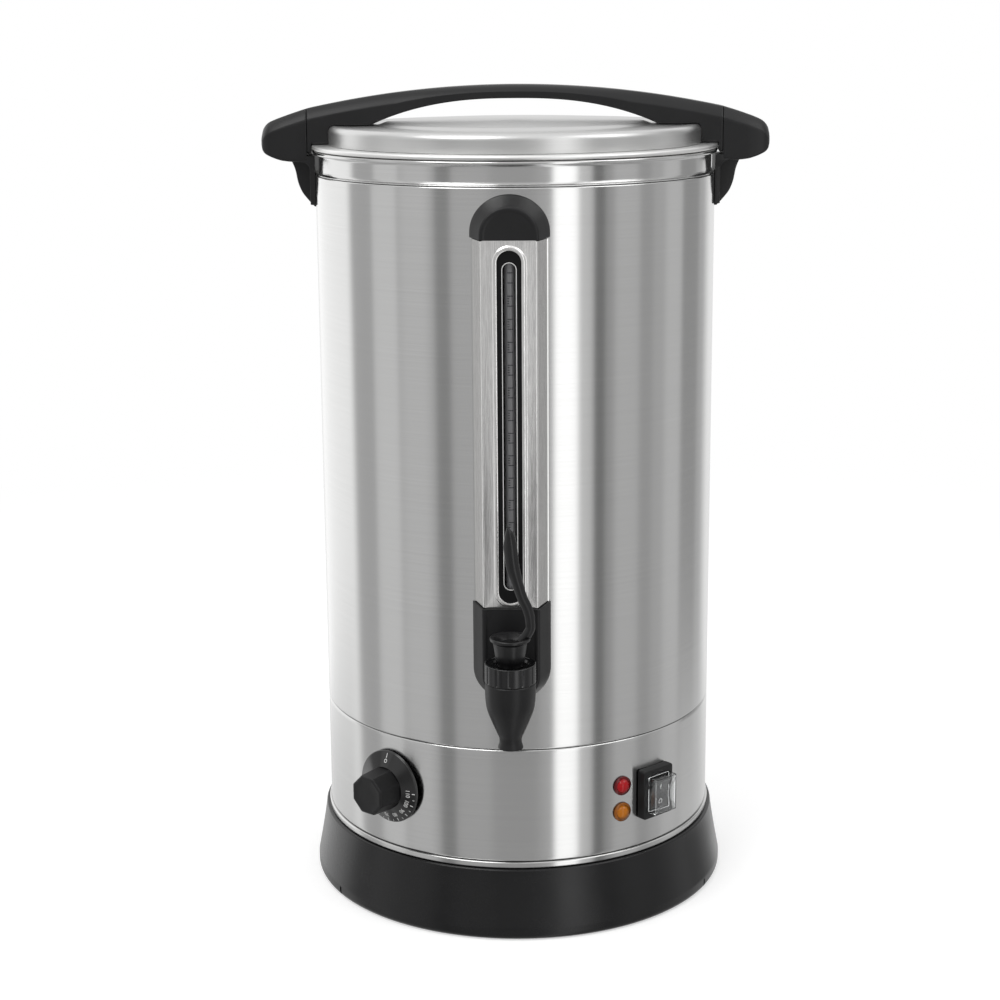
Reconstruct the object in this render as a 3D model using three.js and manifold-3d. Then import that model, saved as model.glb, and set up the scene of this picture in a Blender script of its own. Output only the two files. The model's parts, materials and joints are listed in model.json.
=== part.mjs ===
// Hot water urn: a double-walled steel boiler with a twist lid, a sight gauge and a lever tap.
// Millimetres, +Z up. The origin is on the urn's axis, on the surface that it stands on.
// The tap and the gauge face -Y, and +X is to the right of someone who looks at them.

import * as THREE from 'three';
import { mergeVertices } from 'three/addons/utils/BufferGeometryUtils.js';
import Module from 'manifold-3d';

const wasm = await Module();
wasm.setup();
const { Manifold, Mesh: SolidMesh } = wasm;

// Driving dimensions: clearances and counts
const seatGap = 0.3;
const runGap = 0.4;
const overrun = 3;
const roundSides = 40;
const smallSides = 14;
const tapSides = 20;
const beadSteps = 5;
const filletSteps = 4;

// Driving dimensions: shells
const bodyRadius = 150;
const sheet = 1;
const flangeReach = 6.5;
const skirtHeight = 52.3;
const trimHeight = 4.6;
const trimProud = 1.4;
const trimRound = 0.9;
const bandHeight = 86.4;
const bodyHeight = 405.5;
const collarInset = 2.6;
const collarHeight = 17.5;
const collarBead = 1.5;
const rimHeight = 3.7;
const rimBead = 1.65;
const rimProud = 0.6;

// Driving dimensions: base
const skirtProud = 4;
const skirtTopRound = 1.2;
const skirtFlare = 7.2;
const skirtWall = 3;
const skirtFlareHeight = 9;
const skirtFootRound = 4.6;
const skirtLedgeWidth = 10;
const plateThickness = 3;
const ledgeThickness = 6.2;
const plateInset = 4;
const notchWidth = 2.4;
const notchHeight = 8;
const notchDepth = 2;
const notchAngles = [-57.2, 65];
const ventWidth = 5;
const ventLength = 34;
const ventReach = 92;
const ventCount = 6;
const baseScrewCount = 3;
const baseScrewInset = 5;
const screwRadius = 1.8;
const screwHeadRadius = 3.4;
const screwHeadHeight = 2;
const screwSides = 8;

// Driving dimensions: inner tank and heater
const tankInset = 11;
const tankWall = 0.9;
const tankFloorRise = 7.8;
const tankCorner = 7.5;
const heaterRadius = 62;
const heaterThickness = 4.2;
const elementRingRadius = 48;
const elementRadius = 4;
const elementGapAngle = 40;
const elementLegLength = 10;
const elementSteps = 16;
const elementSides = 6;
const cutoutRadius = 9;
const cutoutHeight = 8;
const bulbRadius = 3;
const bulbLength = 58;
const bulbOffset = 22;
const capillaryRadius = 1;
const leadRadius = 2.2;
const leadSteps = 16;

// Driving dimensions: lid
const lidOverlap = 0.7;
const lidHeight = 14;
const lidShoulder = 4.6;
const lidValleyInset = 15.7;
const lidValleyDrop = 0.6;
const lidRiseInset = 42.7;
const lidRiseSlope = 6;
const lidRise = 2;
const lidCrown = 1.2;
const gasketWidth = 5.4;
const gasketUpper = 5.2;
const gasketLower = 9.2;
const gasketSlack = 0.5;

// Driving dimensions: lid handle and side handles
const seamProud = 5.9;
const archHeight = 29.2;
const archRise = 16.8;
const archDepth = 9.9;
const openingInset = 33.7;
const openingLow = 0.8;
const openingPower = 2.5;
const barHalfMiddle = 14.5;
const barHalfEnd = 17;
const barChamferHeight = 8;
const barChamferDepth = 7;
const barChamferCrown = 1.2;
const barLowerEdge = 1.5;
const barFootDrop = 6.2;
const barStations = 22;
const openingSteps = 18;
const handleScrewInset = 15.7;
const handleScrewLength = 12;
const earLength = 34.1;
const earDrop = 6.6;
const earNeckDrop = 2.6;
const legFillet = 6;
const legThickness = 3;
const legLength = 31.9;
const finHalf = 4;
const finProud = 14.1;
const finDrop = 2.3;
const earScrewDrop = 13.4;
const earScrewLength = 9;

// Driving dimensions: gauge
const gaugeProud = 18;
const gaugeSpread = 7.2;
const gaugeHalfFront = 19.3;
const gaugeSink = 1.8;
const gaugeRise = 56.6;
const gaugeHeadroom = 34.2;
const slotHalf = 8.4;
const slotLowEnd = 3.9;
const slotHighEnd = 6.7;
const stripLap = 3.1;
const stripThickness = 1.5;
const stripEnd = 2.4;
const windowGap = 0.6;
const windowLowEnd = 9.5;
const windowHighEnd = 8.8;
const tubeRadius = 4;
const tubeWall = 1.4;
const tubeSetback = 8.5;
const tubeSink = 11.4;
const tubeRise = 9.5;
const sealWidth = 1.6;
const sealHeight = 4.6;
const blockHalf = 12;
const blockInset = 3.3;
const blockDrop = 12;
const blockRise = 40;
const blockChannel = 2.5;

// Driving dimensions: tap housing and top cap
const shroudProud = 2.5;
const shroudLap = 1;
const shroudBackLap = 1.5;
const shroudWall = 2.2;
const shroudArcSteps = 14;
const housingRoundRise = 7;
const housingRoundShare = 0.9;
const capProud = 1.6;
const capRoundRise = 3.5;
const capRoundShare = 0.95;
const capBridgeHalf = 9.4;
const capBridgeHeight = 14.5;

// Driving dimensions: tap
const tapReach = 46;
const shankRise = 48;
const shankRadius = 8.6;
const shankWall = 3.4;
const shankInset = 18;
const spoutDrop = 36.3;
const spoutWall = 2.2;
const spoutBore = 6.1;
const bulbRadiusMax = 17.4;
const bulbHeight = 48.4;
const chamberWall = 4;
const seatRise = 22.3;
const bonnetProud = 0.5;
const bonnetHeight = 13.5;
const bonnetRecess = 2.4;
const bonnetRim = 3.2;
const bonnetWeb = 6.5;
const bonnetRibCount = 12;
const bonnetRibDepth = 0.7;
const bonnetRibWidth = 1.4;
const stemRadius = 3.5;
const stemStep = 0.9;
const stemRise = 8.1;
const stemFootRise = 4.8;
const seatCupInset = 3.9;
const seatCupHeight = 9.8;
const seatCupLip = 2.5;
const springProud = 3.5;
const springWire = 0.8;
const springCoils = 5;
const springCoilSteps = 8;
const springSides = 5;
const pinRadius = 1.4;
const pinInset = 0.8;
const pinDrop = 4;
const pinSlotSteps = 4;
const leverTilt = 20;
const stemLift = 2.7;
const cupBottomRadius = 9.4;
const cupFlare = 2.6;
const cupRimProud = 2.1;
const cupHeight = 21.1;
const cupRimThickness = 2.4;
const cupDish = 3.6;
const cupWall = 2.3;
const cupPocketRise = 2;
const armLength = 77.9;
const armBulge = 14.4;
const armHalfAcross = 4.6;
const armHalfDeep = 3.2;
const armStations = 16;
const armSides = 10;
const nutWall = 6.9;
const nutSides = 6;
const nutThickness = 7.4;
const gasketWall = 5.4;
const gasketThickness = 2;

// Driving dimensions: controls on the band
const knobAngle = -37.5;
const knobRise = 47.1;
const knobSkirtRadius = 27.6;
const knobLift = 1.3;
const knobEdge = 3.4;
const knobConeHeight = 8;
const knobGripRadius = 16.4;
const knobGripDraft = 1;
const knobReach = 27.4;
const knobRecessInset = 7.1;
const knobRecessDepth = 2.8;
const knobSides = 32;
const shaftRadius = 3;
const shaftInset = 7.4;
const shaftBack = 10;
const shaftFlat = 1;
const bushWall = 2;
const thermostatWidth = 34;
const thermostatTall = 36;
const thermostatFront = 5;
const thermostatDepth = 22;
const thermostatScrewPlace = 14;
const switchAngle = 43.28;
const switchRise = 41;
const bezelWidth = 30;
const bezelTall = 38;
const bezelProud = 7;
const bezelLapWide = 2;
const bezelLapTall = 2;
const switchBodyDepth = 20;
const rockerHalfWidth = 9.2;
const rockerHalfTall = 11.3;
const rockerEnd = 9.4;
const rockerMiddle = 7.2;
const rockerSkirt = 2;
const rockerKeel = 4.6;
const rockerPivot = 1;
const rockerTilt = 9;
const rockerSideGap = 0.7;
const rockerEndGap = 1.9;
const pocketDepth = 13;
const coverGapWide = 1;
const coverGapTall = 0.6;
const coverHeight = 7.7;
const coverWall = 0.8;
const lampAngle = 32.2;
const redLampRise = 9.8;
const amberLampDrop = 10.7;
const lensRadius = 7.3;
const lensFlange = 1.4;
const lensRimWidth = 1.1;
const lensDome = 5.4;
const lampBodyInset = 2.3;
const lampBodyDepth = 18;

// Driving dimensions: mains inlet
const glandHeight = 30;
const glandRadius = 7;
const glandWall = 2.8;
const glandFlangeLap = 3;
const glandProud = 1.2;
const glandReach = 12;
const glandNutLap = 5;
const glandNutThickness = 4.5;
const glandNutInset = 7.2;
const terminalWidth = 34;
const terminalDepth = 18;
const terminalHeight = 18;
const terminalInset = 50;

// Places and sizes that follow from the driving dimensions
const weldDistance = 1e-4;
const trimBottom = skirtHeight + seatGap;
const trimTop = trimBottom + trimHeight;
const bandBottom = trimTop + seatGap;
const bandTop = bandBottom + bandHeight;
const bodyBottom = bandTop + seatGap;
const bodyTop = bodyBottom + bodyHeight;
const collarBottom = bodyTop + seatGap;
const collarTop = collarBottom + collarHeight;
const rimTop = collarTop + rimHeight;
const flangeRadius = bodyRadius - flangeReach;
const rimRadius = bodyRadius + rimProud + rimBead;
const skirtTopRadius = bodyRadius + skirtProud;
const plateRadius = skirtTopRadius - plateInset;
const tankRadius = bodyRadius - tankInset;
const tankFloor = bodyBottom + tankFloorRise;
const lidRadius = tankRadius + lidOverlap;
const lidValleyRadius = lidRadius - lidValleyInset;
const lidRiseRadius = lidRadius - lidRiseInset;
const lidRiseFoot = lidRiseRadius + lidRiseSlope;
const seamRadius = bodyRadius + seamProud;
const openingHalf = lidRadius - openingInset;
const barFoot = rimTop - barFootDrop;
const handleScrewPlace = lidRadius - handleScrewInset;
const earReach = seamRadius + earLength;
const earLow = barFoot - earDrop;
const legBottom = earLow - legLength;
const finReach = seamRadius + finProud;
const finTip = legBottom - finDrop;
const earScrewHeight = earLow - earScrewDrop;
const gaugeFront = bodyRadius + gaugeProud;
const gaugeHalfBack = gaugeHalfFront + gaugeSpread;
const gaugeBackPlace = bodyRadius - gaugeSink;
const stripHalf = slotHalf + stripLap;
const windowHalf = tubeRadius + windowGap;
const tubeBore = tubeRadius - tubeWall;
const tubePlace = gaugeFront - tubeSetback;
const shroudFront = gaugeFront + shroudProud;
const shroudHalfFront = gaugeHalfFront + shroudLap;
const shroudHalfBack = gaugeHalfBack + shroudBackLap;
const capFront = gaugeFront + capProud;
const tapPlace = bodyRadius + tapReach;
const shankHeight = tankFloor + shankRise;
const shankBore = shankRadius - shankWall;
const shankEnd = tankRadius - shankInset;
const tapBottom = shankHeight - spoutDrop;
const spoutRadius = spoutBore + spoutWall;
const bulbTop = tapBottom + bulbHeight;
const chamberRadius = bulbRadiusMax - chamberWall;
const seatHeight = tapBottom + seatRise;
const bonnetRadius = bulbRadiusMax + bonnetProud;
const stemNeckRadius = stemRadius - stemStep;
const stemFoot = seatHeight + stemFootRise;
const seatCupRadius = chamberRadius - seatCupInset;
const springRadius = stemRadius + springProud;
const pinHalf = cupBottomRadius - pinInset;
const cupNeckRadius = cupBottomRadius + cupFlare;
const cupRimRadius = cupNeckRadius + cupRimProud;
const cupPocketRadius = cupBottomRadius - cupWall;
const nutRadius = shankRadius + nutWall;
const gasketRadius = shankRadius + gasketWall;
const knobHeight = bandBottom + knobRise;
const knobGripTopRadius = knobGripRadius - knobGripDraft;
const knobRecessRadius = knobSkirtRadius - knobRecessInset;
const shaftReach = knobReach - shaftInset;
const bushRadius = shaftRadius + bushWall;
const switchHeight = bandBottom + switchRise;
const switchBodyWidth = bezelWidth - 2 * bezelLapWide;
const switchBodyTall = bezelTall - 2 * bezelLapTall;
const pocketHalfWidth = rockerHalfWidth + rockerSideGap;
const pocketHalfTall = rockerHalfTall + rockerEndGap;
const coverWidth = 2 * (pocketHalfWidth + coverGapWide);
const coverTall = 2 * (pocketHalfTall + coverGapTall);
const redLampHeight = switchHeight + redLampRise;
const amberLampHeight = switchHeight - amberLampDrop;
const lensDomeRadius = lensRadius - lensRimWidth;
const lampBodyRadius = lensRadius - lampBodyInset;
const glandBore = glandRadius - glandWall;
const glandFlangeRadius = glandRadius + glandFlangeLap;
const glandOuter = skirtTopRadius + skirtFlare + glandProud;
const glandInner = skirtTopRadius - glandReach;
const glandNutRadius = glandRadius + glandNutLap;
const glandNutPlace = skirtTopRadius - glandNutInset;
const terminalPlace = bodyRadius - terminalInset;
const heaterTop = tankFloor - seatGap;
const heaterBottom = heaterTop - heaterThickness;
const lidBottom = rimTop + seatGap;
const lidCrest = lidBottom + lidHeight - seatGap;
const bonnetBottom = bulbTop + seatGap;
const bonnetTop = bonnetBottom + bonnetHeight;
const bonnetFloor = bonnetTop - bonnetRecess;
const springTop = bonnetFloor - bonnetWeb - seatGap;
const archTop = lidCrest + archHeight;
const archUnder = archTop - archDepth;
const openingFloor = lidCrest + openingLow;
const gaugeBottom = shankHeight + gaugeRise;
const gaugeTop = bodyTop - gaugeHeadroom;
const slotBottom = gaugeBottom + slotLowEnd;
const slotTop = gaugeTop - slotHighEnd;
const windowBottom = slotBottom + windowLowEnd;
const windowTop = slotTop - windowHighEnd;
const tubeTop = gaugeTop + tubeRise;
const blockFront = shroudFront - blockInset;
const blockBottom = shankHeight - blockDrop;
const blockTop = shankHeight + blockRise;
const housingRoundHeight = shankHeight + housingRoundRise;
const capRoundHeight = gaugeTop + capRoundRise;
const stemTop = bonnetTop + stemRise;
const pinHeight = stemTop - pinDrop;
const cupRimTop = bonnetFloor + cupHeight;
const cupPocketTop = stemTop + cupPocketRise;
const armHeight = cupRimTop + armLength;
const tubeBottom = blockTop - tubeSink;

// Finishes
const finishes = {
  steel: { color: 0xc9c8c4, roughness: 0.32, metalness: 1 },
  brightSteel: { color: 0xdcdcda, roughness: 0.18, metalness: 1 },
  tankSteel: { color: 0xb8b8b6, roughness: 0.42, metalness: 1 },
  blackPlastic: { color: 0x1c1c1d, roughness: 0.5, metalness: 0 },
  knobPlastic: { color: 0x171718, roughness: 0.38, metalness: 0 },
  tapPlastic: { color: 0x1a1a1b, roughness: 0.42, metalness: 0 },
  strip: { color: 0x0f1013, roughness: 0.3, metalness: 0 },
  tube: { color: 0xcfd6d8, roughness: 0.06, metalness: 0 },
  silicone: { color: 0xdedcd4, roughness: 0.6, metalness: 0 },
  aluminium: { color: 0xb5b7b9, roughness: 0.5, metalness: 1 },
  redLens: { color: 0xb01018, roughness: 0.15, metalness: 0 },
  amberLens: { color: 0xc47a10, roughness: 0.15, metalness: 0 },
  clearCover: { color: 0xc8ccce, roughness: 0.12, metalness: 0 },
  insulation: { color: 0x8a8a86, roughness: 0.7, metalness: 0 },
  nylon: { color: 0xe2e0d8, roughness: 0.55, metalness: 0 },
  brass: { color: 0xb58f4a, roughness: 0.35, metalness: 1 },
};

// Solids from geometry

/** Welds a closed geometry, turns it outwards and makes it a solid. */
function solidOf(geometry) {
  geometry.deleteAttribute('normal');
  geometry.deleteAttribute('uv');
  const welded = mergeVertices(geometry, weldDistance);
  const places = welded.attributes.position.array;
  const corners = welded.index.array;
  const faces = [];
  const a = new THREE.Vector3();
  const b = new THREE.Vector3();
  const c = new THREE.Vector3();
  let volume = 0;
  for (let i = 0; i < corners.length; i += 3) {
    const [p, q, r] = corners.slice(i, i + 3);
    if (p === q || q === r || r === p) continue;
    faces.push([p, q, r]);
    a.fromArray(places, 3 * p);
    b.fromArray(places, 3 * q);
    c.fromArray(places, 3 * r);
    volume += a.dot(b.cross(c));
  }
  const outward = faces.map(([p, q, r]) => (volume < 0 ? [p, r, q] : [p, q, r]));
  const triVerts = new Uint32Array(outward.flat());
  const vertProperties = new Float32Array(places);
  return new Manifold(new SolidMesh({ numProp: 3, vertProperties, triVerts }));
}

/** Gives a solid its name and finish. */
function piece(name, solid, finish) {
  const { vertProperties, triVerts } = solid.getMesh();
  const geometry = new THREE.BufferGeometry();
  geometry.setAttribute('position', new THREE.BufferAttribute(new Float32Array(vertProperties), 3));
  geometry.setIndex(new THREE.BufferAttribute(new Uint32Array(triVerts), 1));
  geometry.computeVertexNormals();
  const mesh = new THREE.Mesh(geometry, new THREE.MeshStandardMaterial(finishes[finish]));
  mesh.name = name;
  return mesh;
}

/** Cuts each of the tools from a solid. */
function cut(solid, ...tools) {
  return tools.reduce((rest, tool) => rest.subtract(tool), solid);
}

/** Joins solids into one. */
function join(first, ...others) {
  return others.reduce((whole, other) => whole.add(other), first);
}

/** A profile of [radius, height] points turned about Z, closed on itself unless it ends on the axis. */
function turned(profile, sides = roundSides, frame = null) {
  const points = profile.map(([radius, height]) => new THREE.Vector2(radius, height));
  const onAxis = profile[0][0] === 0 && profile[profile.length - 1][0] === 0;
  if (!onAxis) points.push(points[0].clone());
  const geometry = new THREE.LatheGeometry(points, sides).rotateX(Math.PI / 2);
  if (frame) geometry.applyMatrix4(frame);
  return solidOf(geometry);
}

/** A rod of even radius from one height to another about Z. */
function rod(radius, low, high, sides = smallSides, frame = null) {
  return turned([[0, low], [radius, low], [radius, high], [0, high]], sides, frame);
}

/** A box between two opposite corners. */
function block(low, high, frame = null) {
  const size = high.map((value, i) => value - low[i]);
  const centre = high.map((value, i) => (value + low[i]) / 2);
  const geometry = new THREE.BoxGeometry(...size).translate(...centre);
  if (frame) geometry.applyMatrix4(frame);
  return solidOf(geometry);
}

/** An outline drawn in X and Z, and given a thickness between two places along Y. */
function plateAlongY(outline, from, to) {
  const shape = new THREE.Shape(outline.map(([x, z]) => new THREE.Vector2(x, z)));
  const geometry = new THREE.ExtrudeGeometry(shape, { depth: to - from, bevelEnabled: false, steps: 1 });
  geometry.rotateX(Math.PI / 2).translate(0, to, 0);
  return solidOf(geometry);
}

/** An outline drawn in X and Y, and drawn up from one height to another. */
function plateAlongZ(outline, low, high) {
  const shape = new THREE.Shape(outline.map(([x, y]) => new THREE.Vector2(x, y)));
  const geometry = new THREE.ExtrudeGeometry(shape, { depth: high - low, bevelEnabled: false, steps: 1 });
  return solidOf(geometry.translate(0, 0, low));
}

/** A skin over a row of rings with as many points each, closed by a fan over the first and the last. */
function loft(rings) {
  const count = rings[0].length;
  const places = [];
  const faces = [];
  for (const ring of rings) for (const point of ring) places.push(...point);
  for (let i = 0; i + 1 < rings.length; i += 1) {
    for (let j = 0; j < count; j += 1) {
      const next = (j + 1) % count;
      const a = i * count + j;
      const b = i * count + next;
      faces.push(a, b, b + count, a, b + count, a + count);
    }
  }
  const ends = [0, rings.length - 1];
  for (const end of ends) {
    const centre = [0, 1, 2].map((k) => rings[end].reduce((sum, point) => sum + point[k], 0) / count);
    const hub = places.length / 3;
    places.push(...centre);
    for (let j = 0; j < count; j += 1) {
      const a = end * count + j;
      const b = end * count + ((j + 1) % count);
      faces.push(...(end === 0 ? [hub, b, a] : [hub, a, b]));
    }
  }
  const geometry = new THREE.BufferGeometry();
  geometry.setAttribute('position', new THREE.Float32BufferAttribute(places, 3));
  geometry.setIndex(faces);
  return solidOf(geometry);
}

/** A round tube or wire along a curve. */
function wire(curve, radius, steps, sides) {
  const shape = new THREE.Shape();
  for (let i = 0; i < sides; i += 1) {
    const angle = (2 * Math.PI * i) / sides;
    const x = radius * Math.cos(angle);
    const y = radius * Math.sin(angle);
    if (i === 0) shape.moveTo(x, y);
    else shape.lineTo(x, y);
  }
  return solidOf(new THREE.ExtrudeGeometry(shape, { steps, extrudePath: curve, bevelEnabled: false }));
}

/** A smooth curve through [x, y, z] points. */
function route(points) {
  return new THREE.CatmullRomCurve3(points.map((point) => new THREE.Vector3(...point)));
}

/** Points of an arc from one angle to another, in degrees, about a centre. */
function arc(centre, radius, from, to, steps) {
  return Array.from({ length: steps + 1 }, (_, i) => {
    const angle = THREE.MathUtils.degToRad(from + ((to - from) * i) / steps);
    return [centre[0] + radius * Math.cos(angle), centre[1] + radius * Math.sin(angle)];
  });
}

/** The frame of a control: X to the right, Y up and Z outwards, on the shell's surface. */
function shellFrame(degrees, height) {
  const angle = THREE.MathUtils.degToRad(degrees);
  const outward = new THREE.Vector3(Math.sin(angle), -Math.cos(angle), 0);
  const right = new THREE.Vector3(Math.cos(angle), Math.sin(angle), 0);
  const frame = new THREE.Matrix4().makeBasis(right, new THREE.Vector3(0, 0, 1), outward);
  return frame.setPosition(outward.multiplyScalar(bodyRadius).setZ(height));
}

/** The frame of a part that points along -Y, with its origin at a place and a height on the Y axis. */
function forwardFrame(place, height) {
  const frame = new THREE.Matrix4().makeRotationX(Math.PI / 2);
  return frame.setPosition(0, -place, height);
}

/** A group whose pieces are placed by a frame. */
function group(frame, ...pieces) {
  const holder = new THREE.Group();
  frame.decompose(holder.position, holder.quaternion, holder.scale);
  holder.add(...pieces);
  return holder;
}

// Shells of the urn

function outerBody() {
  const inner = bodyRadius - sheet;
  const shell = turned([
    [flangeRadius, bodyBottom], [bodyRadius, bodyBottom], [bodyRadius, bodyTop], [flangeRadius, bodyTop],
    [flangeRadius, bodyTop - sheet], [inner, bodyTop - sheet],
    [inner, bodyBottom + sheet], [flangeRadius, bodyBottom + sheet],
  ]);
  const shankHole = rod(shankRadius + runGap, inner - overrun, bodyRadius + overrun, smallSides,
    forwardFrame(0, shankHeight));
  const screwHoles = [-1, 1].map((side) => rod(screwRadius + seatGap, inner - overrun,
    bodyRadius + overrun, screwSides, sideFrame(side, earScrewHeight)));
  return piece('outer_body', cut(shell, shankHole, ...screwHoles), 'steel');
}

function upperCollar() {
  const outer = bodyRadius - collarInset;
  const inner = outer - sheet;
  const beadCentre = [bodyRadius + rimProud - seatGap, collarTop - collarBead];
  const bead = arc(beadCentre, collarBead, -160, 90, beadSteps);
  const profile = [
    [flangeRadius, collarBottom], [outer, collarBottom], [outer, bead[0][1]], ...bead,
    [inner, collarTop], [inner, collarBottom + sheet], [flangeRadius, collarBottom + sheet],
  ];
  return piece('upper_collar', turned(profile), 'steel');
}

function innerTank() {
  const inner = tankRadius - tankWall;
  const beadCentre = [bodyRadius + rimProud, rimTop - rimBead];
  const bead = arc(beadCentre, rimBead, -200, 90, beadSteps);
  const underside = rimTop - sheet;
  const floor = tankFloor + tankWall;
  const corner = tankCorner;
  const profile = [
    [0, tankFloor], [tankRadius - corner, tankFloor],
    ...arc([tankRadius - corner, tankFloor + corner], corner, -67, 0, 2),
    [tankRadius, underside], [bead[0][0], underside], ...bead,
    [inner, rimTop],
    ...arc([tankRadius - corner, tankFloor + corner], corner - tankWall, 0, -67, 2),
    [tankRadius - corner, floor], [0, floor],
  ];
  const shankHole = rod(shankRadius + runGap, inner - overrun, tankRadius + overrun, smallSides,
    forwardFrame(0, shankHeight));
  return piece('inner_tank', cut(turned(profile), shankHole), 'tankSteel');
}

function controlBand() {
  const inner = bodyRadius - sheet;
  const shell = turned([
    [flangeRadius, bandBottom], [bodyRadius, bandBottom], [bodyRadius, bandTop], [flangeRadius, bandTop],
    [flangeRadius, bandTop - sheet], [inner, bandTop - sheet],
    [inner, bandBottom + sheet], [flangeRadius, bandBottom + sheet],
  ]);
  const knobFrame = shellFrame(knobAngle, knobHeight);
  const bushHole = rod(bushRadius + seatGap, -overrun, overrun, smallSides, knobFrame);
  const screwHoles = [-1, 1].map((side) => rod(screwRadius + seatGap, -overrun, overrun, screwSides,
    knobFrame.clone().multiply(new THREE.Matrix4().makeTranslation(0, side * thermostatScrewPlace, 0))));
  const halfWidth = switchBodyWidth / 2 + seatGap;
  const halfTall = switchBodyTall / 2 + seatGap;
  const switchHole = block([-halfWidth, -halfTall, -overrun], [halfWidth, halfTall, overrun],
    shellFrame(switchAngle, switchHeight));
  const lampHoles = [redLampHeight, amberLampHeight].map((height) => rod(lampBodyRadius + seatGap,
    -overrun, overrun, smallSides, shellFrame(lampAngle, height)));
  return piece('control_band', cut(shell, bushHole, ...screwHoles, switchHole, ...lampHoles), 'steel');
}

function baseTrimRing() {
  const outer = bodyRadius + trimProud;
  const profile = [
    [flangeRadius, trimBottom], [outer - trimRound, trimBottom], [outer, trimBottom + trimRound],
    [outer, trimTop - trimRound], [outer - trimRound, trimTop], [flangeRadius, trimTop],
  ];
  return piece('base_trim_ring', turned(profile), 'brightSteel');
}

/** The outer line of the skirt: [radius, height] points from its top edge down to the floor. */
function skirtLine() {
  const wide = skirtTopRadius + skirtFlare;
  const fall = skirtHeight - skirtTopRound - skirtFlareHeight;
  const steps = 3;
  const flare = Array.from({ length: steps + 1 }, (_, i) => {
    const share = i / steps;
    return [skirtTopRadius + skirtFlare * share ** 1.15, skirtHeight - skirtTopRound - fall * share];
  });
  const foot = arc([wide - skirtFootRound, skirtFootRound], skirtFootRound, 0, -80, 3);
  return [[skirtTopRadius - skirtTopRound, skirtHeight], ...flare, ...foot];
}

function baseSkirt() {
  const line = skirtLine();
  const inner = line.filter(([, height]) => height > skirtFlareHeight && height < skirtHeight - skirtWall)
    .map(([radius, height]) => [radius - skirtWall, height]).reverse();
  const ledgeBottom = plateThickness + seatGap;
  const ledgeTop = ledgeBottom + ledgeThickness;
  const ledgeInner = plateRadius - skirtLedgeWidth;
  const hole = plateRadius + seatGap;
  const wide = skirtTopRadius + skirtFlare;
  const profile = [
    [flangeRadius, skirtHeight], ...line, [wide - skirtFootRound, 0], [hole, 0], [hole, ledgeBottom],
    [ledgeInner, ledgeBottom], [ledgeInner, ledgeTop], [inner[0][0], ledgeTop], ...inner,
    [skirtTopRadius - skirtWall, skirtHeight - skirtWall], [flangeRadius, skirtHeight - skirtWall],
  ];
  const notches = notchAngles.map((degrees) => {
    const frame = shellFrame(degrees, 0);
    const proud = wide - bodyRadius;
    const half = notchWidth / 2;
    return block([-half, -overrun, proud - notchDepth], [half, notchHeight, proud + overrun], frame);
  });
  const screwHoles = baseScrewPlaces().map((frame) => rod(screwRadius + seatGap, 0, ledgeTop - sheet,
    screwSides, frame));
  const glandHole = rod(glandRadius + seatGap, flangeRadius, wide + overrun, smallSides,
    backFrame(glandHeight));
  return piece('base_skirt', cut(turned(profile), ...notches, ...screwHoles, glandHole), 'blackPlastic');
}

/** The frame of a part that points along +Y from the axis at a height. */
function backFrame(height) {
  return new THREE.Matrix4().makeRotationX(-Math.PI / 2).setPosition(0, 0, height);
}

/** The frame of a part that points to one side, -1 for left and 1 for right, from the axis at a height. */
function sideFrame(side, height) {
  return new THREE.Matrix4().makeRotationY((side * Math.PI) / 2).setPosition(0, 0, height);
}

/** The frames of the base screws, pointing up from the floor. */
function baseScrewPlaces() {
  const reach = plateRadius - baseScrewInset;
  return Array.from({ length: baseScrewCount }, (_, i) => {
    const angle = (2 * Math.PI * (i + 0.25)) / baseScrewCount;
    return new THREE.Matrix4().makeTranslation(reach * Math.cos(angle), reach * Math.sin(angle), 0);
  });
}

function bottomPlate() {
  const disc = rod(plateRadius, 0, plateThickness, roundSides);
  const vents = Array.from({ length: ventCount }, (_, i) => {
    const frame = new THREE.Matrix4().makeRotationZ((2 * Math.PI * (i + 0.5)) / ventCount);
    return block([ventReach - ventLength / 2, -ventWidth / 2, -overrun],
      [ventReach + ventLength / 2, ventWidth / 2, plateThickness + overrun], frame);
  });
  const seats = baseScrewPlaces().map((frame) => join(
    rod(screwHeadRadius + seatGap, -overrun, screwHeadHeight + seatGap, smallSides, frame),
    rod(screwRadius + seatGap, 0, plateThickness + overrun, screwSides, frame),
  ));
  return piece('bottom_plate', cut(disc, ...vents, ...seats), 'blackPlastic');
}

function baseScrews() {
  const tip = plateThickness + ledgeThickness - sheet;
  const lift = seatGap / 2;
  return baseScrewPlaces().map((frame, i) => {
    const screw = join(
      rod(screwHeadRadius, lift, screwHeadHeight, screwSides),
      rod(screwRadius, screwHeadHeight / 2, tip, screwSides),
    );
    const mesh = piece(`base_screw_${i + 1}`, screw, 'brightSteel');
    mesh.position.setFromMatrixPosition(frame);
    return mesh;
  });
}

// Heater below the tank

function heaterPlate() {
  return piece('heater_plate', rod(heaterRadius, heaterBottom, heaterTop, roundSides), 'aluminium');
}

function heatingElement() {
  const height = heaterBottom - seatGap - elementRadius;
  const half = elementGapAngle / 2;
  const loop = arc([0, 0], elementRingRadius, 90 + half, 450 - half, elementSteps);
  const points = loop.map(([x, y]) => [x, y, height]);
  const drop = ([x, y], level) => [x, y, height - level];
  const ends = [loop[0], loop[loop.length - 1]];
  const path = route([
    drop(ends[0], elementLegLength), drop(ends[0], elementLegLength / 2), ...points.slice(1, -1),
    drop(ends[1], elementLegLength / 2), drop(ends[1], elementLegLength),
  ]);
  return piece('heating_element', wire(path, elementRadius, 2 * elementSteps, elementSides), 'aluminium');
}

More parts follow.
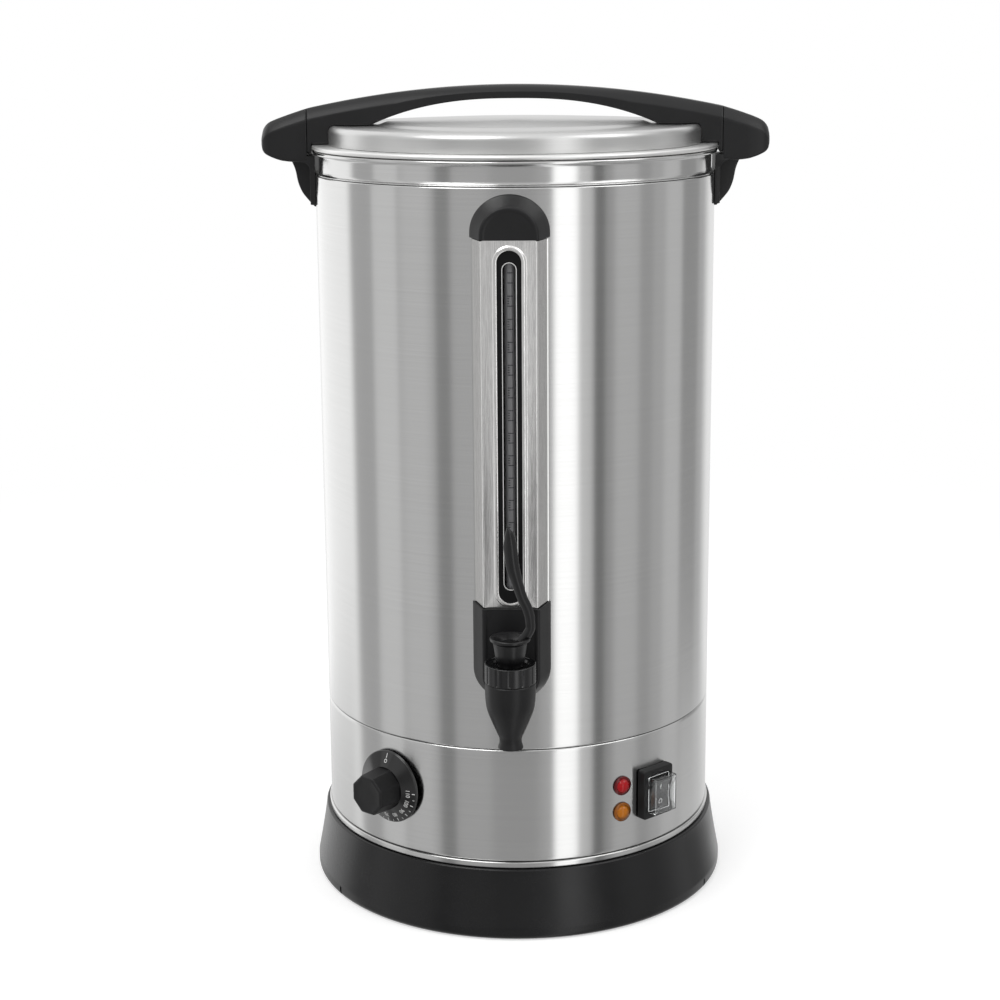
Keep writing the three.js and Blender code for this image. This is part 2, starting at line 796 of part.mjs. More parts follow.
function thermalCutout() {
  const top = heaterBottom - seatGap;
  const bottom = top - cutoutHeight;
  const tab = cutoutRadius / 3;
  const tabs = [-1, 1].map((side) => block([side * tab * 2 - sheet / 2, -tab, bottom - tab * 2],
    [side * tab * 2 + sheet / 2, tab, bottom + sheet]));
  return piece('thermal_cutout', join(rod(cutoutRadius, bottom, top), ...tabs), 'nylon');
}

function thermostatBulb() {
  const height = heaterBottom - seatGap - bulbRadius;
  const half = bulbLength / 2;
  const straight = route([-half, 0, half].map((x) => [x, -bulbOffset, height]));
  const bulb = wire(straight, bulbRadius, 4, elementSides);
  const above = thermostatTall / 2 + capillaryRadius + seatGap;
  const box = new THREE.Vector3(0, above, -thermostatFront - thermostatDepth / 2)
    .applyMatrix4(shellFrame(knobAngle, knobHeight));
  const under = height - elementRadius * 2.5;
  const reach = elementRingRadius;
  const tube = wire(route([
    [box.x, box.y, box.z], [box.x * 0.86, box.y * 0.9, (box.z + under) / 2 + capillaryRadius],
    [-reach, -reach * 1.05, under], [-reach * 0.78, -reach * 0.7, under],
    [-half - bulbRadius, -bulbOffset - bulbRadius / 2, height - bulbRadius], [-half, -bulbOffset, height],
    [-half + bulbRadius, -bulbOffset, height],
  ]), capillaryRadius, leadSteps, elementSides);
  return piece('thermostat_bulb', join(bulb, tube), 'brass');
}

// Lid

/** The outer line of the lid from its crest's outer side to the axis, raised by a height. */
function lidLine(raise) {
  const corner = lidShoulder;
  return [
    ...arc([lidRadius - corner, lidCrest - corner], corner, 0, 90, 3),
    [lidValleyRadius, lidCrest - lidValleyDrop],
    [lidRiseFoot, lidCrest - lidValleyDrop / 2],
    [lidRiseRadius, lidCrest + lidRise],
    [lidRiseRadius / 2, lidCrest + lidRise + lidCrown * 0.75],
    [0, lidCrest + lidRise + lidCrown],
  ].map(([radius, height]) => [radius, height + raise]);
}

function lidShell() {
  const inner = lidRadius - sheet;
  const under = lidLine(-sheet).filter(([radius]) => radius < inner - sheet).reverse();
  const shell = turned([[lidRadius, lidBottom], ...lidLine(0), ...under, [inner, lidCrest - lidShoulder],
    [inner, lidBottom]]);
  const holes = [-1, 1].map((side) => rod(screwRadius + seatGap, lidBottom, archTop, screwSides,
    new THREE.Matrix4().makeTranslation(side * handleScrewPlace, 0, 0)));
  return piece('lid_shell', cut(shell, ...holes), 'steel');
}

function lidGasket() {
  const seat = rimTop + gasketSlack + seatGap;
  const upper = (lidRadius - sheet) * Math.cos(Math.PI / roundSides) - seatGap;
  const lower = tankRadius - tankWall - gasketSlack;
  const inner = upper - gasketWidth;
  const foot = rimTop - gasketLower;
  const profile = [
    [inner, foot], [lower - sheet, foot], [lower, foot + sheet], [lower, rimTop], [upper, seat],
    [upper, seat + gasketUpper], [inner, seat + gasketUpper],
  ];
  return piece('lid_gasket', turned(profile), 'silicone');
}

// Handles

/** The height of the handle's upper line at a distance from the axis. */
function archLine(distance) {
  return archTop - archRise * (distance / seamRadius) ** 2;
}

/** One cross-section of the handle's bar, with crowned upper chamfers, at a place along X. */
function barSection(x, low, high, half) {
  const chamfer = Math.min(barChamferDepth, half / 2);
  const drop = Math.min(barChamferHeight, (high - low) / 2);
  const edge = Math.min(barLowerEdge, (high - low) / 5);
  const crown = barChamferCrown / 2;
  const right = [
    [half - edge, low], [half, low + edge], [half, high - drop],
    [half - chamfer / 2 + crown, high - drop / 2 + crown], [half - chamfer, high],
  ];
  const left = right.map(([y, z]) => [-y, z]).reverse();
  return [...right, ...left].map(([y, z]) => [x, y, z]);
}

function handleBar() {
  const reach = seamRadius + overrun;
  const rings = Array.from({ length: barStations + 1 }, (_, i) => {
    const x = -reach + (2 * reach * i) / barStations;
    const share = Math.abs(x) / reach;
    const half = barHalfMiddle + (barHalfEnd - barHalfMiddle) * share ** 2;
    return barSection(x, barFoot, archLine(Math.abs(x)), half);
  });
  return loft(rings);
}

/** The hand opening below the bar, cut right through along Y. */
function handOpening() {
  const drop = archUnder - openingFloor;
  const under = Array.from({ length: openingSteps + 1 }, (_, i) => {
    const share = -1 + (2 * i) / openingSteps;
    return [openingHalf * share, archUnder - drop * Math.abs(share) ** openingPower];
  });
  const floor = barFoot - overrun;
  const outline = [[-openingHalf, floor], ...under, [openingHalf, floor]];
  return plateAlongY(outline, -barHalfEnd * 2, barHalfEnd * 2);
}

/** Everything of the lid and the rim that the handle fits over, with its clearance. */
function lidEnvelope() {
  const inside = barFoot - overrun;
  const rimClear = rimRadius + seatGap * 2;
  const side = lidRadius + seatGap;
  const line = lidLine(seatGap);
  return turned([[0, inside], [rimClear, inside], [rimClear, rimTop + seatGap], [side, rimTop + seatGap],
    [side, lidCrest - lidShoulder], ...line.slice(1)]);
}

function lidHandle() {
  const sweep = rod(seamRadius - seatGap, barFoot - overrun, archTop + overrun, roundSides * 2);
  const top = lidCrest - lidValleyDrop + handleScrewLength;
  const holes = [-1, 1].map((side) => rod(screwRadius + seatGap, barFoot, top + seatGap, screwSides,
    new THREE.Matrix4().makeTranslation(side * handleScrewPlace, 0, 0)));
  const bar = cut(handleBar(), handOpening(), lidEnvelope(), ...holes).intersect(sweep);
  return piece('lid_handle', bar, 'blackPlastic');
}

function handleScrew(name, side) {
  const under = lidCrest - lidValleyDrop - sheet - seatGap;
  const screw = join(
    rod(screwHeadRadius, under - screwHeadHeight, under, screwSides),
    rod(screwRadius, under - screwHeadHeight / 2, under + handleScrewLength, screwSides),
  );
  const mesh = piece(name, screw, 'brightSteel');
  mesh.position.x = side * handleScrewPlace;
  return mesh;
}

// Shares of the side handle's length, upper height, lower height and half width, from seam to nose
const earShares = [
  [0, 1, 0, 1], [0.25, 0.931, 0.003, 1], [0.5, 0.857, 0.023, 1], [0.7, 0.793, 0.071, 0.97],
  [0.82, 0.745, 0.115, 0.93], [0.91, 0.679, 0.158, 0.86], [0.97, 0.597, 0.219, 0.75], [1, 0.5, 0.309, 0.6],
];

// Shares of the fin's reach and height, from its tip up to the side handle's underside
const finShares = [[0, 0], [0.1, 0.05], [0.32, 0.17], [0.52, 0.3], [0.68, 0.5], [0.78, 0.74], [1, 1]];

/** The outer block of the right side handle, from the parting line to its nose. */
function earBlock() {
  const height = archLine(seamRadius) - earLow;
  const length = earReach - seamRadius;
  const rings = earShares.map(([along, upper, lower, wide]) => barSection(seamRadius + length * along,
    earLow + height * lower, earLow + height * upper, barHalfEnd * wide));
  const start = barSection(seamRadius - overrun, earLow, archLine(seamRadius - overrun), barHalfEnd);
  const inner = rod(seamRadius, earLow - overrun, archTop, roundSides * 2);
  return cut(loft([start, ...rings]), inner);
}

/** The fin below the block, as an outline in X and Z. */
function earFin() {
  const foot = bodyRadius + seatGap;
  const reach = finReach - foot - legThickness / 2;
  const rise = earLow + earNeckDrop - finTip;
  const edge = finShares.map(([out, up]) => [foot + legThickness / 2 + reach * out, finTip + rise * up]);
  const inside = foot - overrun;
  return plateAlongY([[inside, finTip], ...edge, [inside, finTip + rise]], -finHalf, finHalf);
}

/** The leg below the block, joined to the block's underside by a fillet. */
function earLeg() {
  const inner = bodyRadius - overrun;
  const outer = bodyRadius + seatGap + legThickness;
  const top = barFoot - seatGap;
  const fillet = arc([outer + legFillet, earLow - legFillet], legFillet, 180, 90, filletSteps);
  const outline = [[inner, legBottom], [outer, legBottom], ...fillet, [outer + legFillet, top], [inner, top]];
  return plateAlongY(outline, -barHalfEnd, barHalfEnd);
}

function sideHandle(name, side) {
  const shell = rod(bodyRadius + seatGap, finTip - overrun, barFoot, roundSides);
  const bead = turned([[0, collarTop - collarBead * 3], [rimRadius + seatGap, collarTop - collarBead * 3],
    [rimRadius + seatGap, archTop], [0, archTop]]);
  const screwHole = rod(screwRadius + seatGap, bodyRadius - overrun, bodyRadius + earScrewLength + seatGap,
    screwSides, sideFrame(1, earScrewHeight));
  const whole = cut(join(earBlock(), earFin(), earLeg()), shell, bead, screwHole);
  const mesh = piece(name, whole, 'blackPlastic');
  mesh.rotation.z = side < 0 ? Math.PI : 0;
  return mesh;
}

function earScrew(name, side) {
  const inner = bodyRadius - sheet - seatGap;
  const screw = join(
    rod(screwHeadRadius, inner - screwHeadHeight, inner, screwSides),
    rod(screwRadius, inner - screwHeadHeight / 2, bodyRadius + earScrewLength, screwSides),
  );
  return group(sideFrame(side, earScrewHeight), piece(name, screw, 'brightSteel'));
}

// Gauge

/** A pill outline in X and Z between two heights. */
function pill(half, low, high) {
  return [...arc([0, high - half], half, 0, 180, 10), ...arc([0, low + half], half, 180, 360, 10)];
}

function gaugeCover() {
  const slope = (gaugeHalfBack - gaugeHalfFront) / (gaugeFront - gaugeBackPlace);
  const side = sheet * Math.hypot(1, slope);
  const front = gaugeFront - sheet;
  const outer = [[-gaugeHalfBack, -gaugeBackPlace], [-gaugeHalfFront, -gaugeFront],
    [gaugeHalfFront, -gaugeFront], [gaugeHalfBack, -gaugeBackPlace]];
  const frontInner = gaugeHalfFront - side + sheet * slope;
  const inner = [[gaugeHalfBack - side, -gaugeBackPlace], [frontInner, -front],
    [-frontInner, -front], [-gaugeHalfBack + side, -gaugeBackPlace]];
  const shell = plateAlongZ([...outer, ...inner], gaugeBottom, gaugeTop);
  const slot = plateAlongY(pill(slotHalf, slotBottom, slotTop), -gaugeFront - overrun, -front + overrun);
  const clear = rod(bodyRadius + seatGap, gaugeBottom - overrun, gaugeTop + overrun, roundSides);
  return piece('gauge_cover', cut(shell, slot, clear), 'steel');
}

function gaugeStrip() {
  const front = gaugeFront - sheet - seatGap;
  const plate = plateAlongY(pill(stripHalf, slotBottom - stripEnd, slotTop + stripEnd),
    -front, -front + stripThickness);
  const window = plateAlongY(pill(windowHalf, windowBottom, windowTop), -front - overrun,
    -front + stripThickness + overrun);
  return piece('gauge_strip', cut(plate, window), 'strip');
}

function sightTube() {
  const frame = new THREE.Matrix4().makeTranslation(0, -tubePlace, 0);
  const profile = [[tubeBore, tubeBottom], [tubeRadius, tubeBottom],
    [tubeRadius, tubeTop], [tubeBore, tubeTop]];
  return piece('sight_tube', turned(profile, smallSides, frame), 'tube');
}

function tubeSeal(name, low) {
  const inner = tubeRadius + seatGap;
  const profile = [[inner, low], [inner + sealWidth, low], [inner + sealWidth, low + sealHeight],
    [inner, low + sealHeight]];
  const mesh = piece(name, turned(profile, smallSides), 'silicone');
  mesh.position.y = -tubePlace;
  return mesh;
}

/** The bore for a tube's end and the seat of its seal, open towards one end. */
function tubeSocket(low, high, sealLow, sealHigh) {
  const frame = new THREE.Matrix4().makeTranslation(0, -tubePlace, 0);
  const seat = tubeRadius + seatGap * 2 + sealWidth;
  return join(rod(tubeRadius + runGap, low, high, smallSides, frame),
    rod(seat, sealLow, sealHigh, smallSides, frame));
}

function gaugeBlock() {
  const back = bodyRadius + seatGap * 2 + gasketThickness;
  const space = shroudSolid(shroudFront, housingRoundHeight, blockTop, housingRoundShare,
    shroudWall + seatGap);
  const body = block([-blockHalf, -blockFront, blockBottom], [blockHalf, -back, blockTop]).intersect(space);
  const socket = tubeSocket(tubeBottom - seatGap, blockTop + overrun, blockTop - sealHeight - seatGap,
    blockTop + overrun);
  const channel = rod(blockChannel, shankHeight, blockTop, screwSides,
    new THREE.Matrix4().makeTranslation(0, -tubePlace, 0));
  const shank = rod(shankRadius + seatGap, 0, blockFront * 2, smallSides, forwardFrame(0, shankHeight));
  return piece('gauge_block', cut(body, socket, channel, shank), 'nylon');
}

/** The outline of a shroud at one place along Y: straight sides from one end, then half an ellipse. */
function shroudRing(half, place, roundHeight, endHeight, roundShare) {
  const sense = Math.sign(roundHeight - endHeight) * roundShare;
  const round = arc([0, 0], half, 0, 180, shroudArcSteps)
    .map(([x, rise]) => [x, roundHeight + sense * rise]);
  return [[half, endHeight], ...round, [-half, endHeight]].map(([x, z]) => [x, -place, z]);
}

/** A shroud that tapers from the shell to its front face, its walls drawn in by an inset. */
function shroudSolid(front, roundHeight, endHeight, roundShare, inset) {
  const slope = (shroudHalfBack - shroudHalfFront) / (front - gaugeBackPlace);
  const back = gaugeBackPlace - flangeReach;
  const deepest = shroudHalfBack + slope * flangeReach;
  return loft([
    shroudRing(deepest - inset, back, roundHeight, endHeight, roundShare),
    shroudRing(shroudHalfFront - inset, front - inset, roundHeight, endHeight, roundShare),
  ]);
}

function tapHousing() {
  const top = gaugeBottom - seatGap;
  const outer = shroudSolid(shroudFront, housingRoundHeight, top, housingRoundShare, 0);
  const inner = shroudSolid(shroudFront, housingRoundHeight, top + overrun, housingRoundShare, shroudWall);
  const bottom = housingRoundHeight - 2 * shroudHalfBack;
  const shell = rod(bodyRadius + seatGap, bottom, top + overrun, roundSides);
  const shank = rod(shankRadius + runGap, blockFront, shroudFront + overrun, smallSides,
    forwardFrame(0, shankHeight));
  return piece('tap_housing', cut(outer, inner, shell, shank), 'blackPlastic');
}

function gaugeTopCap() {
  const low = gaugeTop + seatGap;
  const outer = shroudSolid(capFront, capRoundHeight, low, capRoundShare, 0);
  const inner = shroudSolid(capFront, capRoundHeight, low - overrun, capRoundShare, shroudWall);
  const front = capFront - shroudWall / 2;
  const bridge = block([-capBridgeHalf, -front, low], [capBridgeHalf, -bodyRadius, low + capBridgeHeight]);
  const socket = tubeSocket(low - overrun, tubeTop + seatGap, low - overrun, low + sealHeight + seatGap);
  const shell = rod(bodyRadius + seatGap, low - overrun, capRoundHeight + 2 * shroudHalfBack, roundSides);
  return piece('gauge_top_cap', cut(join(cut(outer, inner), bridge), shell, socket), 'blackPlastic');
}

// Tap

const tapFrame = new THREE.Matrix4().makeTranslation(0, -tapPlace, 0);

// Shares of the bulb's largest radius and of its height, from the spout's mouth to the collar
const bulbShares = [[0.477, 0], [0.477, 0.11], [0.5, 0.175], [0.54, 0.235], [0.63, 0.31], [0.79, 0.45],
  [0.9, 0.56], [0.96, 0.65], [0.995, 0.79], [1, 0.87], [1, 1]];

function tapBody() {
  const height = bulbTop - tapBottom;
  const outline = bulbShares.map(([radius, up]) => [Math.max(bulbRadiusMax * radius, spoutRadius),
    tapBottom + height * up]);
  const bulb = turned([[0, tapBottom], ...outline, [0, bulbTop]], tapSides, tapFrame);
  const shank = rod(shankRadius, shankEnd, tapPlace, smallSides, forwardFrame(0, shankHeight));
  const mouth = tapBottom - overrun;
  const chamber = turned([[0, mouth], [spoutBore, mouth], [spoutBore, seatHeight],
    [chamberRadius, seatHeight], [chamberRadius, bulbTop + overrun], [0, bulbTop + overrun]],
  smallSides, tapFrame);
  const bore = rod(shankBore, shankEnd - overrun, tapPlace, smallSides, forwardFrame(0, shankHeight));
  const branch = rod(blockChannel, shankHeight, shankHeight + shankRadius + overrun, screwSides,
    new THREE.Matrix4().makeTranslation(0, -tubePlace, 0));
  return piece('tap_body', cut(join(bulb, shank), chamber, bore, branch), 'tapPlastic');
}

function tapBonnet() {
  const recess = bonnetRadius - bonnetRim;
  const web = bonnetFloor - bonnetWeb;
  const inner = chamberRadius - seatGap;
  const bore = stemRadius + runGap;
  const cap = turned([
    [bore, web], [inner, web], [inner, bonnetBottom], [bonnetRadius, bonnetBottom],
    [bonnetRadius, bonnetTop - sheet], [bonnetRadius - sheet, bonnetTop],
    [recess, bonnetTop], [recess, bonnetFloor], [bore, bonnetFloor],
  ], tapSides);
  const half = bonnetRibWidth / 2;
  const grooves = Array.from({ length: bonnetRibCount }, (_, i) => block(
    [bonnetRadius - bonnetRibDepth, -half, bonnetBottom - overrun],
    [bonnetRadius + overrun, half, bonnetTop - sheet],
    new THREE.Matrix4().makeRotationZ((2 * Math.PI * i) / bonnetRibCount),
  ));
  const mesh = piece('tap_bonnet', cut(cap, ...grooves), 'tapPlastic');
  mesh.position.y = -tapPlace;
  return mesh;
}

/** The frame of the pin and its holes: Z points along +X, from the stem's axis. */
function pinFrame() {
  return sideFrame(1, pinHeight);
}

function tapStem() {
  const neck = bonnetTop;
  const stem = turned([[0, stemFoot], [stemRadius, stemFoot], [stemRadius, neck], [stemNeckRadius, neck],
    [stemNeckRadius, stemTop], [0, stemTop]], smallSides);
  const hole = rod(pinRadius + seatGap / 2, -stemRadius * 2, stemRadius * 2, screwSides, pinFrame());
  const mesh = piece('tap_stem', cut(stem, hole), 'nylon');
  mesh.position.y = -tapPlace;
  return mesh;
}

function tapPin() {
  const mesh = piece('tap_pin', rod(pinRadius, -pinHalf, pinHalf, screwSides, pinFrame()), 'brightSteel');
  mesh.position.y = -tapPlace;
  return mesh;
}

function tapSeatCup() {
  const low = seatHeight + seatGap;
  const high = low + seatCupHeight;
  const bore = stemRadius + seatGap;
  const profile = [[0, low], [spoutBore - runGap, low], [seatCupRadius, low + seatCupLip],
    [seatCupRadius, high], [bore, high], [bore, stemFoot - seatGap], [0, stemFoot - seatGap]];
  const mesh = piece('tap_seat_cup', turned(profile, smallSides), 'silicone');
  mesh.position.y = -tapPlace;
  return mesh;
}

/** The helix of the spring's wire. */
class SpringLine extends THREE.Curve {
  constructor(radius, low, high, coils) {
    super();
    Object.assign(this, { radius, low, high, coils });
  }

  getPoint(share, target = new THREE.Vector3()) {
    const angle = 2 * Math.PI * this.coils * share;
    return target.set(this.radius * Math.cos(angle), this.radius * Math.sin(angle),
      this.low + (this.high - this.low) * share);
  }
}

function tapSpring() {
  const low = seatHeight + seatGap + seatCupHeight + seatGap + springWire;
  const high = springTop - springWire;
  const line = new SpringLine(springRadius, low, high, springCoils);
  const leastGap = (high - low) / springCoils - 2 * springWire;
  console.log(`tap spring: least gap between its turns ${leastGap.toFixed(2)} mm`);
  const mesh = piece('tap_spring', wire(line, springWire, springCoils * springCoilSteps, springSides),
    'brightSteel');
  mesh.position.y = -tapPlace;
  return mesh;
}

// Shares of the arm's bulge, height, half width across and half depth, from the cup to the tip
const armShares = [
  [0.52, 0, 0.74, 0.95], [0.8, 0.06, 0.72, 0.95], [0.98, 0.13, 0.7, 0.95], [0.96, 0.2, 0.72, 0.95],
  [0.84, 0.29, 0.76, 0.95], [0.61, 0.38, 0.76, 0.95], [0.37, 0.515, 0.82, 1], [0.15, 0.66, 0.97, 1],
  [0.05, 0.81, 1, 1], [0, 0.93, 0.72, 0.9], [-0.08, 1, 0.18, 0.4],
];

/** The S-shaped arm of the lever, in the plane of X and Z. */
function leverArm() {
  const foot = cupRimTop - cupRimThickness * 1.5;
  const rise = armHeight - foot;
  const middle = route(armShares.map(([out, up]) => [armBulge * out, 0, foot + rise * up]));
  const size = route(armShares.map(([, , across, deep]) => [armHalfAcross * across, armHalfDeep * deep, 0]));
  const rings = Array.from({ length: armStations + 1 }, (_, i) => {
    const share = i / armStations;
    const centre = middle.getPoint(share);
    const along = middle.getTangent(share);
    const { x: across, y: deep } = size.getPoint(share);
    return Array.from({ length: armSides }, (__, j) => {
      const angle = (2 * Math.PI * j) / armSides;
      const side = across * Math.cos(angle);
      return [centre.x + side * along.z, deep * Math.sin(angle), centre.z - side * along.x];
    });
  });
  return loft(rings);
}

function tapLever() {
  const bottom = bonnetFloor + seatGap;
  const rimBottom = cupRimTop - cupRimThickness;
  const cup = turned([
    [0, bottom], [cupBottomRadius, bottom], [cupNeckRadius, rimBottom - sheet],
    [cupRimRadius - sheet / 2, rimBottom], [cupRimRadius, cupRimTop - sheet],
    [cupRimRadius - sheet, cupRimTop], [cupNeckRadius - sheet, cupRimTop - sheet / 2],
    [cupBottomRadius / 2, cupRimTop - cupDish], [0, cupRimTop - cupDish],
  ], tapSides);
  const pocket = rod(cupPocketRadius, bottom - overrun, cupPocketTop, smallSides);
  const slot = Array.from({ length: pinSlotSteps + 1 }, (_, i) => {
    const tilt = (leverTilt * i) / pinSlotSteps;
    const back = cupBottomRadius - seatGap;
    const up = pinHeight - bottom + (stemLift * i) / pinSlotSteps;
    const turn = new THREE.Vector2(back, up);
    turn.rotateAround(new THREE.Vector2(), -THREE.MathUtils.degToRad(tilt));
    const shift = new THREE.Matrix4().makeTranslation(0, turn.x - back, turn.y + bottom - pinHeight);
    return rod(pinRadius + runGap, -cupRimRadius, cupRimRadius, screwSides, shift.multiply(pinFrame()));
  });
  const mesh = piece('tap_lever', cut(join(cup, leverArm()), pocket, ...slot), 'tapPlastic');
  mesh.position.y = -tapPlace;
  return mesh;
}

/** A washer or nut on the shank, between two places along Y. */
function shankRing(name, radius, from, thickness, sides, finish) {
  const inner = shankRadius + seatGap;
  const to = from + thickness;
  const frame = forwardFrame(0, shankHeight);
  const ring = turned([[inner, from], [radius, from], [radius, to], [inner, to]], sides, frame);
  const bore = rod(inner, from - overrun, to + overrun, smallSides, frame);
  return piece(name, sides === nutSides ? cut(ring, bore) : ring, finish);
}

function shankFasteners() {
  const wall = tankRadius - tankWall;
  const curve = wall - Math.sqrt(wall ** 2 - gasketRadius ** 2);
  const inner = wall - curve - 2 * seatGap - gasketThickness;
  const outer = bodyRadius + seatGap;
  return [
    shankRing('tap_gasket_inner', gasketRadius, inner, gasketThickness, smallSides, 'silicone'),
    shankRing('tap_gasket_outer', gasketRadius, outer, gasketThickness, smallSides, 'silicone'),
    shankRing('tap_nut', nutRadius, inner - seatGap - nutThickness, nutThickness, nutSides, 'nylon'),
  ];
}

// Controls on the band

function thermostatKnob() {
  const lift = knobLift;
  const skirt = turned([[0, lift], [knobSkirtRadius - sheet / 2, lift], [knobSkirtRadius, lift + sheet],
    [knobSkirtRadius, lift + knobEdge - sheet], [knobSkirtRadius - sheet, lift + knobEdge],
    [knobGripRadius, knobConeHeight], [0, knobConeHeight]], knobSides);
  const octagon = new THREE.CylinderGeometry(knobGripTopRadius, knobGripRadius, knobReach - lift, 8);
  octagon.rotateY(Math.PI / 8).rotateX(Math.PI / 2).translate(0, 0, (knobReach + lift) / 2);
  const grip = solidOf(octagon);
  const recess = rod(knobRecessRadius, lift - overrun, lift + knobRecessDepth, knobSides);
  const bore = rod(shaftRadius + seatGap, 0, shaftReach + seatGap, smallSides);
  return piece('thermostat_knob', cut(join(skirt, grip), recess, bore), 'knobPlastic');
}

function thermostatShaft() {
  const whole = rod(shaftRadius, -shaftBack, shaftReach, smallSides);
  const flat = block([shaftRadius - shaftFlat, -shaftRadius * 2, shaftReach / 2],
    [shaftRadius * 2, shaftRadius * 2, shaftReach + overrun]);
  return piece('thermostat_shaft', cut(whole, flat), 'brightSteel');
}

function thermostatBody() {
  const half = [thermostatWidth / 2, thermostatTall / 2];
  const box = block([-half[0], -half[1], -thermostatFront - thermostatDepth],
    [half[0], half[1], -thermostatFront]);
  const bush = rod(bushRadius, -thermostatFront - sheet, sheet, smallSides);
  const bore = rod(shaftRadius + seatGap, -shaftBack - seatGap, knobReach, smallSides);
  const holes = [-1, 1].map((side) => rod(screwRadius + seatGap, -thermostatFront - screwHeadHeight * 2, 0,
    screwSides, new THREE.Matrix4().makeTranslation(0, side * thermostatScrewPlace, 0)));
  return piece('thermostat_body', cut(join(box, bush), bore, ...holes), 'nylon');
}

function thermostatScrew(name, side) {
  const screw = join(
    rod(screwHeadRadius, seatGap, seatGap + screwHeadHeight, screwSides),
    rod(screwRadius, -thermostatFront - screwHeadHeight, seatGap + screwHeadHeight / 2, screwSides),
  );
  const mesh = piece(name, screw, 'brightSteel');
  mesh.position.y = side * thermostatScrewPlace;
  return mesh;
}

function switchHousing() {
  const halfBezel = [bezelWidth / 2, bezelTall / 2];
  const halfBody = [switchBodyWidth / 2, switchBodyTall / 2];
  const bezel = block([-halfBezel[0], -halfBezel[1], seatGap], [halfBezel[0], halfBezel[1], bezelProud]);
  const body = block([-halfBody[0], -halfBody[1], -switchBodyDepth],
    [halfBody[0], halfBody[1], seatGap + sheet]);
  const pocket = block([-pocketHalfWidth, -pocketHalfTall, bezelProud - pocketDepth],
    [pocketHalfWidth, pocketHalfTall, bezelProud + overrun]);
  return piece('switch_housing', cut(join(bezel, body), pocket), 'blackPlastic');
}

function switchRocker() {
  const outline = [[-rockerHalfTall, -rockerSkirt], [0, -rockerKeel], [rockerHalfTall, -rockerSkirt],
    [rockerHalfTall, rockerEnd - rockerPivot], [0, rockerMiddle - rockerPivot],
    [-rockerHalfTall, rockerEnd - rockerPivot]];
  const shape = new THREE.Shape(outline.map(([up, out]) => new THREE.Vector2(up, out)));
  const depth = 2 * rockerHalfWidth;
  const geometry = new THREE.ExtrudeGeometry(shape, { depth, bevelEnabled: false, steps: 1 });
  geometry.translate(0, 0, -rockerHalfWidth);
  const axes = [[0, 1, 0], [0, 0, 1], [1, 0, 0]].map((axis) => new THREE.Vector3(...axis));
  geometry.applyMatrix4(new THREE.Matrix4().makeBasis(...axes));
  const mesh = piece('switch_rocker', solidOf(geometry), 'knobPlastic');
  mesh.position.z = rockerPivot;
  mesh.rotation.x = THREE.MathUtils.degToRad(rockerTilt);
  return mesh;
}

function switchCover() {
  const low = bezelProud + seatGap;
  const half = [coverWidth / 2, coverTall / 2];
  const outer = block([-half[0], -half[1], low], [half[0], half[1], low + coverHeight]);
  const inner = block([-half[0] + coverWall, -half[1] + coverWall, low - overrun],
    [half[0] - coverWall, half[1] - coverWall, low + coverHeight - coverWall]);
  return piece('switch_cover', cut(outer, inner), 'clearCover');
}

function lamp(name, height, finish) {
  const flat = (lensDome - lensFlange) / lensDomeRadius;
  const dome = arc([0, 0], lensDomeRadius, 0, 90, 4).map(([radius, up]) => [radius, lensFlange + up * flat]);
  dome[dome.length - 1][0] = 0;
  const lens = turned([[0, seatGap], [lensRadius, seatGap], [lensRadius, lensFlange], ...dome], smallSides);
  const body = rod(lampBodyRadius, -lampBodyDepth, 0, smallSides);
  return group(shellFrame(lampAngle, height), piece(`${name}_lens`, lens, finish),
    piece(`${name}_body`, body, 'nylon'));
}

// Mains inlet and leads

function cordGland() {
  const frame = backFrame(glandHeight);
  const line = skirtLine();
  const foot = line[line.length - 1];
  const around = line.map(([radius, height]) => [radius + seatGap, height]);
  const envelope = turned([[0, skirtHeight], ...around, [0, foot[1]]]);
  const flange = cut(rod(glandFlangeRadius, skirtTopRadius, glandOuter, smallSides, frame), envelope);
  const tube = rod(glandRadius, glandInner, glandOuter, smallSides, frame);
  const bore = rod(glandBore, glandInner - overrun, glandOuter + overrun, smallSides, frame);
  return piece('cord_gland', cut(join(flange, tube), bore), 'blackPlastic');
}

function glandNut() {
  const inner = glandRadius + seatGap;
  const ring = cut(rod(glandNutRadius, glandNutPlace, glandNutPlace + glandNutThickness, nutSides),
    rod(inner, glandNutPlace - overrun, glandNutPlace + glandNutThickness + overrun, smallSides));
  return group(backFrame(glandHeight), piece('gland_nut', ring, 'nylon'));
}

function terminalBlock() {
  const low = plateThickness + seatGap;
  const half = terminalWidth / 2;
  const body = block([-half, terminalPlace - terminalDepth / 2, low],
    [half, terminalPlace + terminalDepth / 2, low + terminalHeight]);
  const wells = [-1, 0, 1].map((place) => rod(screwHeadRadius, low + terminalHeight / 2,
    low + terminalHeight + overrun, screwSides,
    new THREE.Matrix4().makeTranslation((place * terminalWidth) / 3, terminalPlace, 0)));
  return piece('terminal_block', cut(body, ...wells), 'nylon');
}

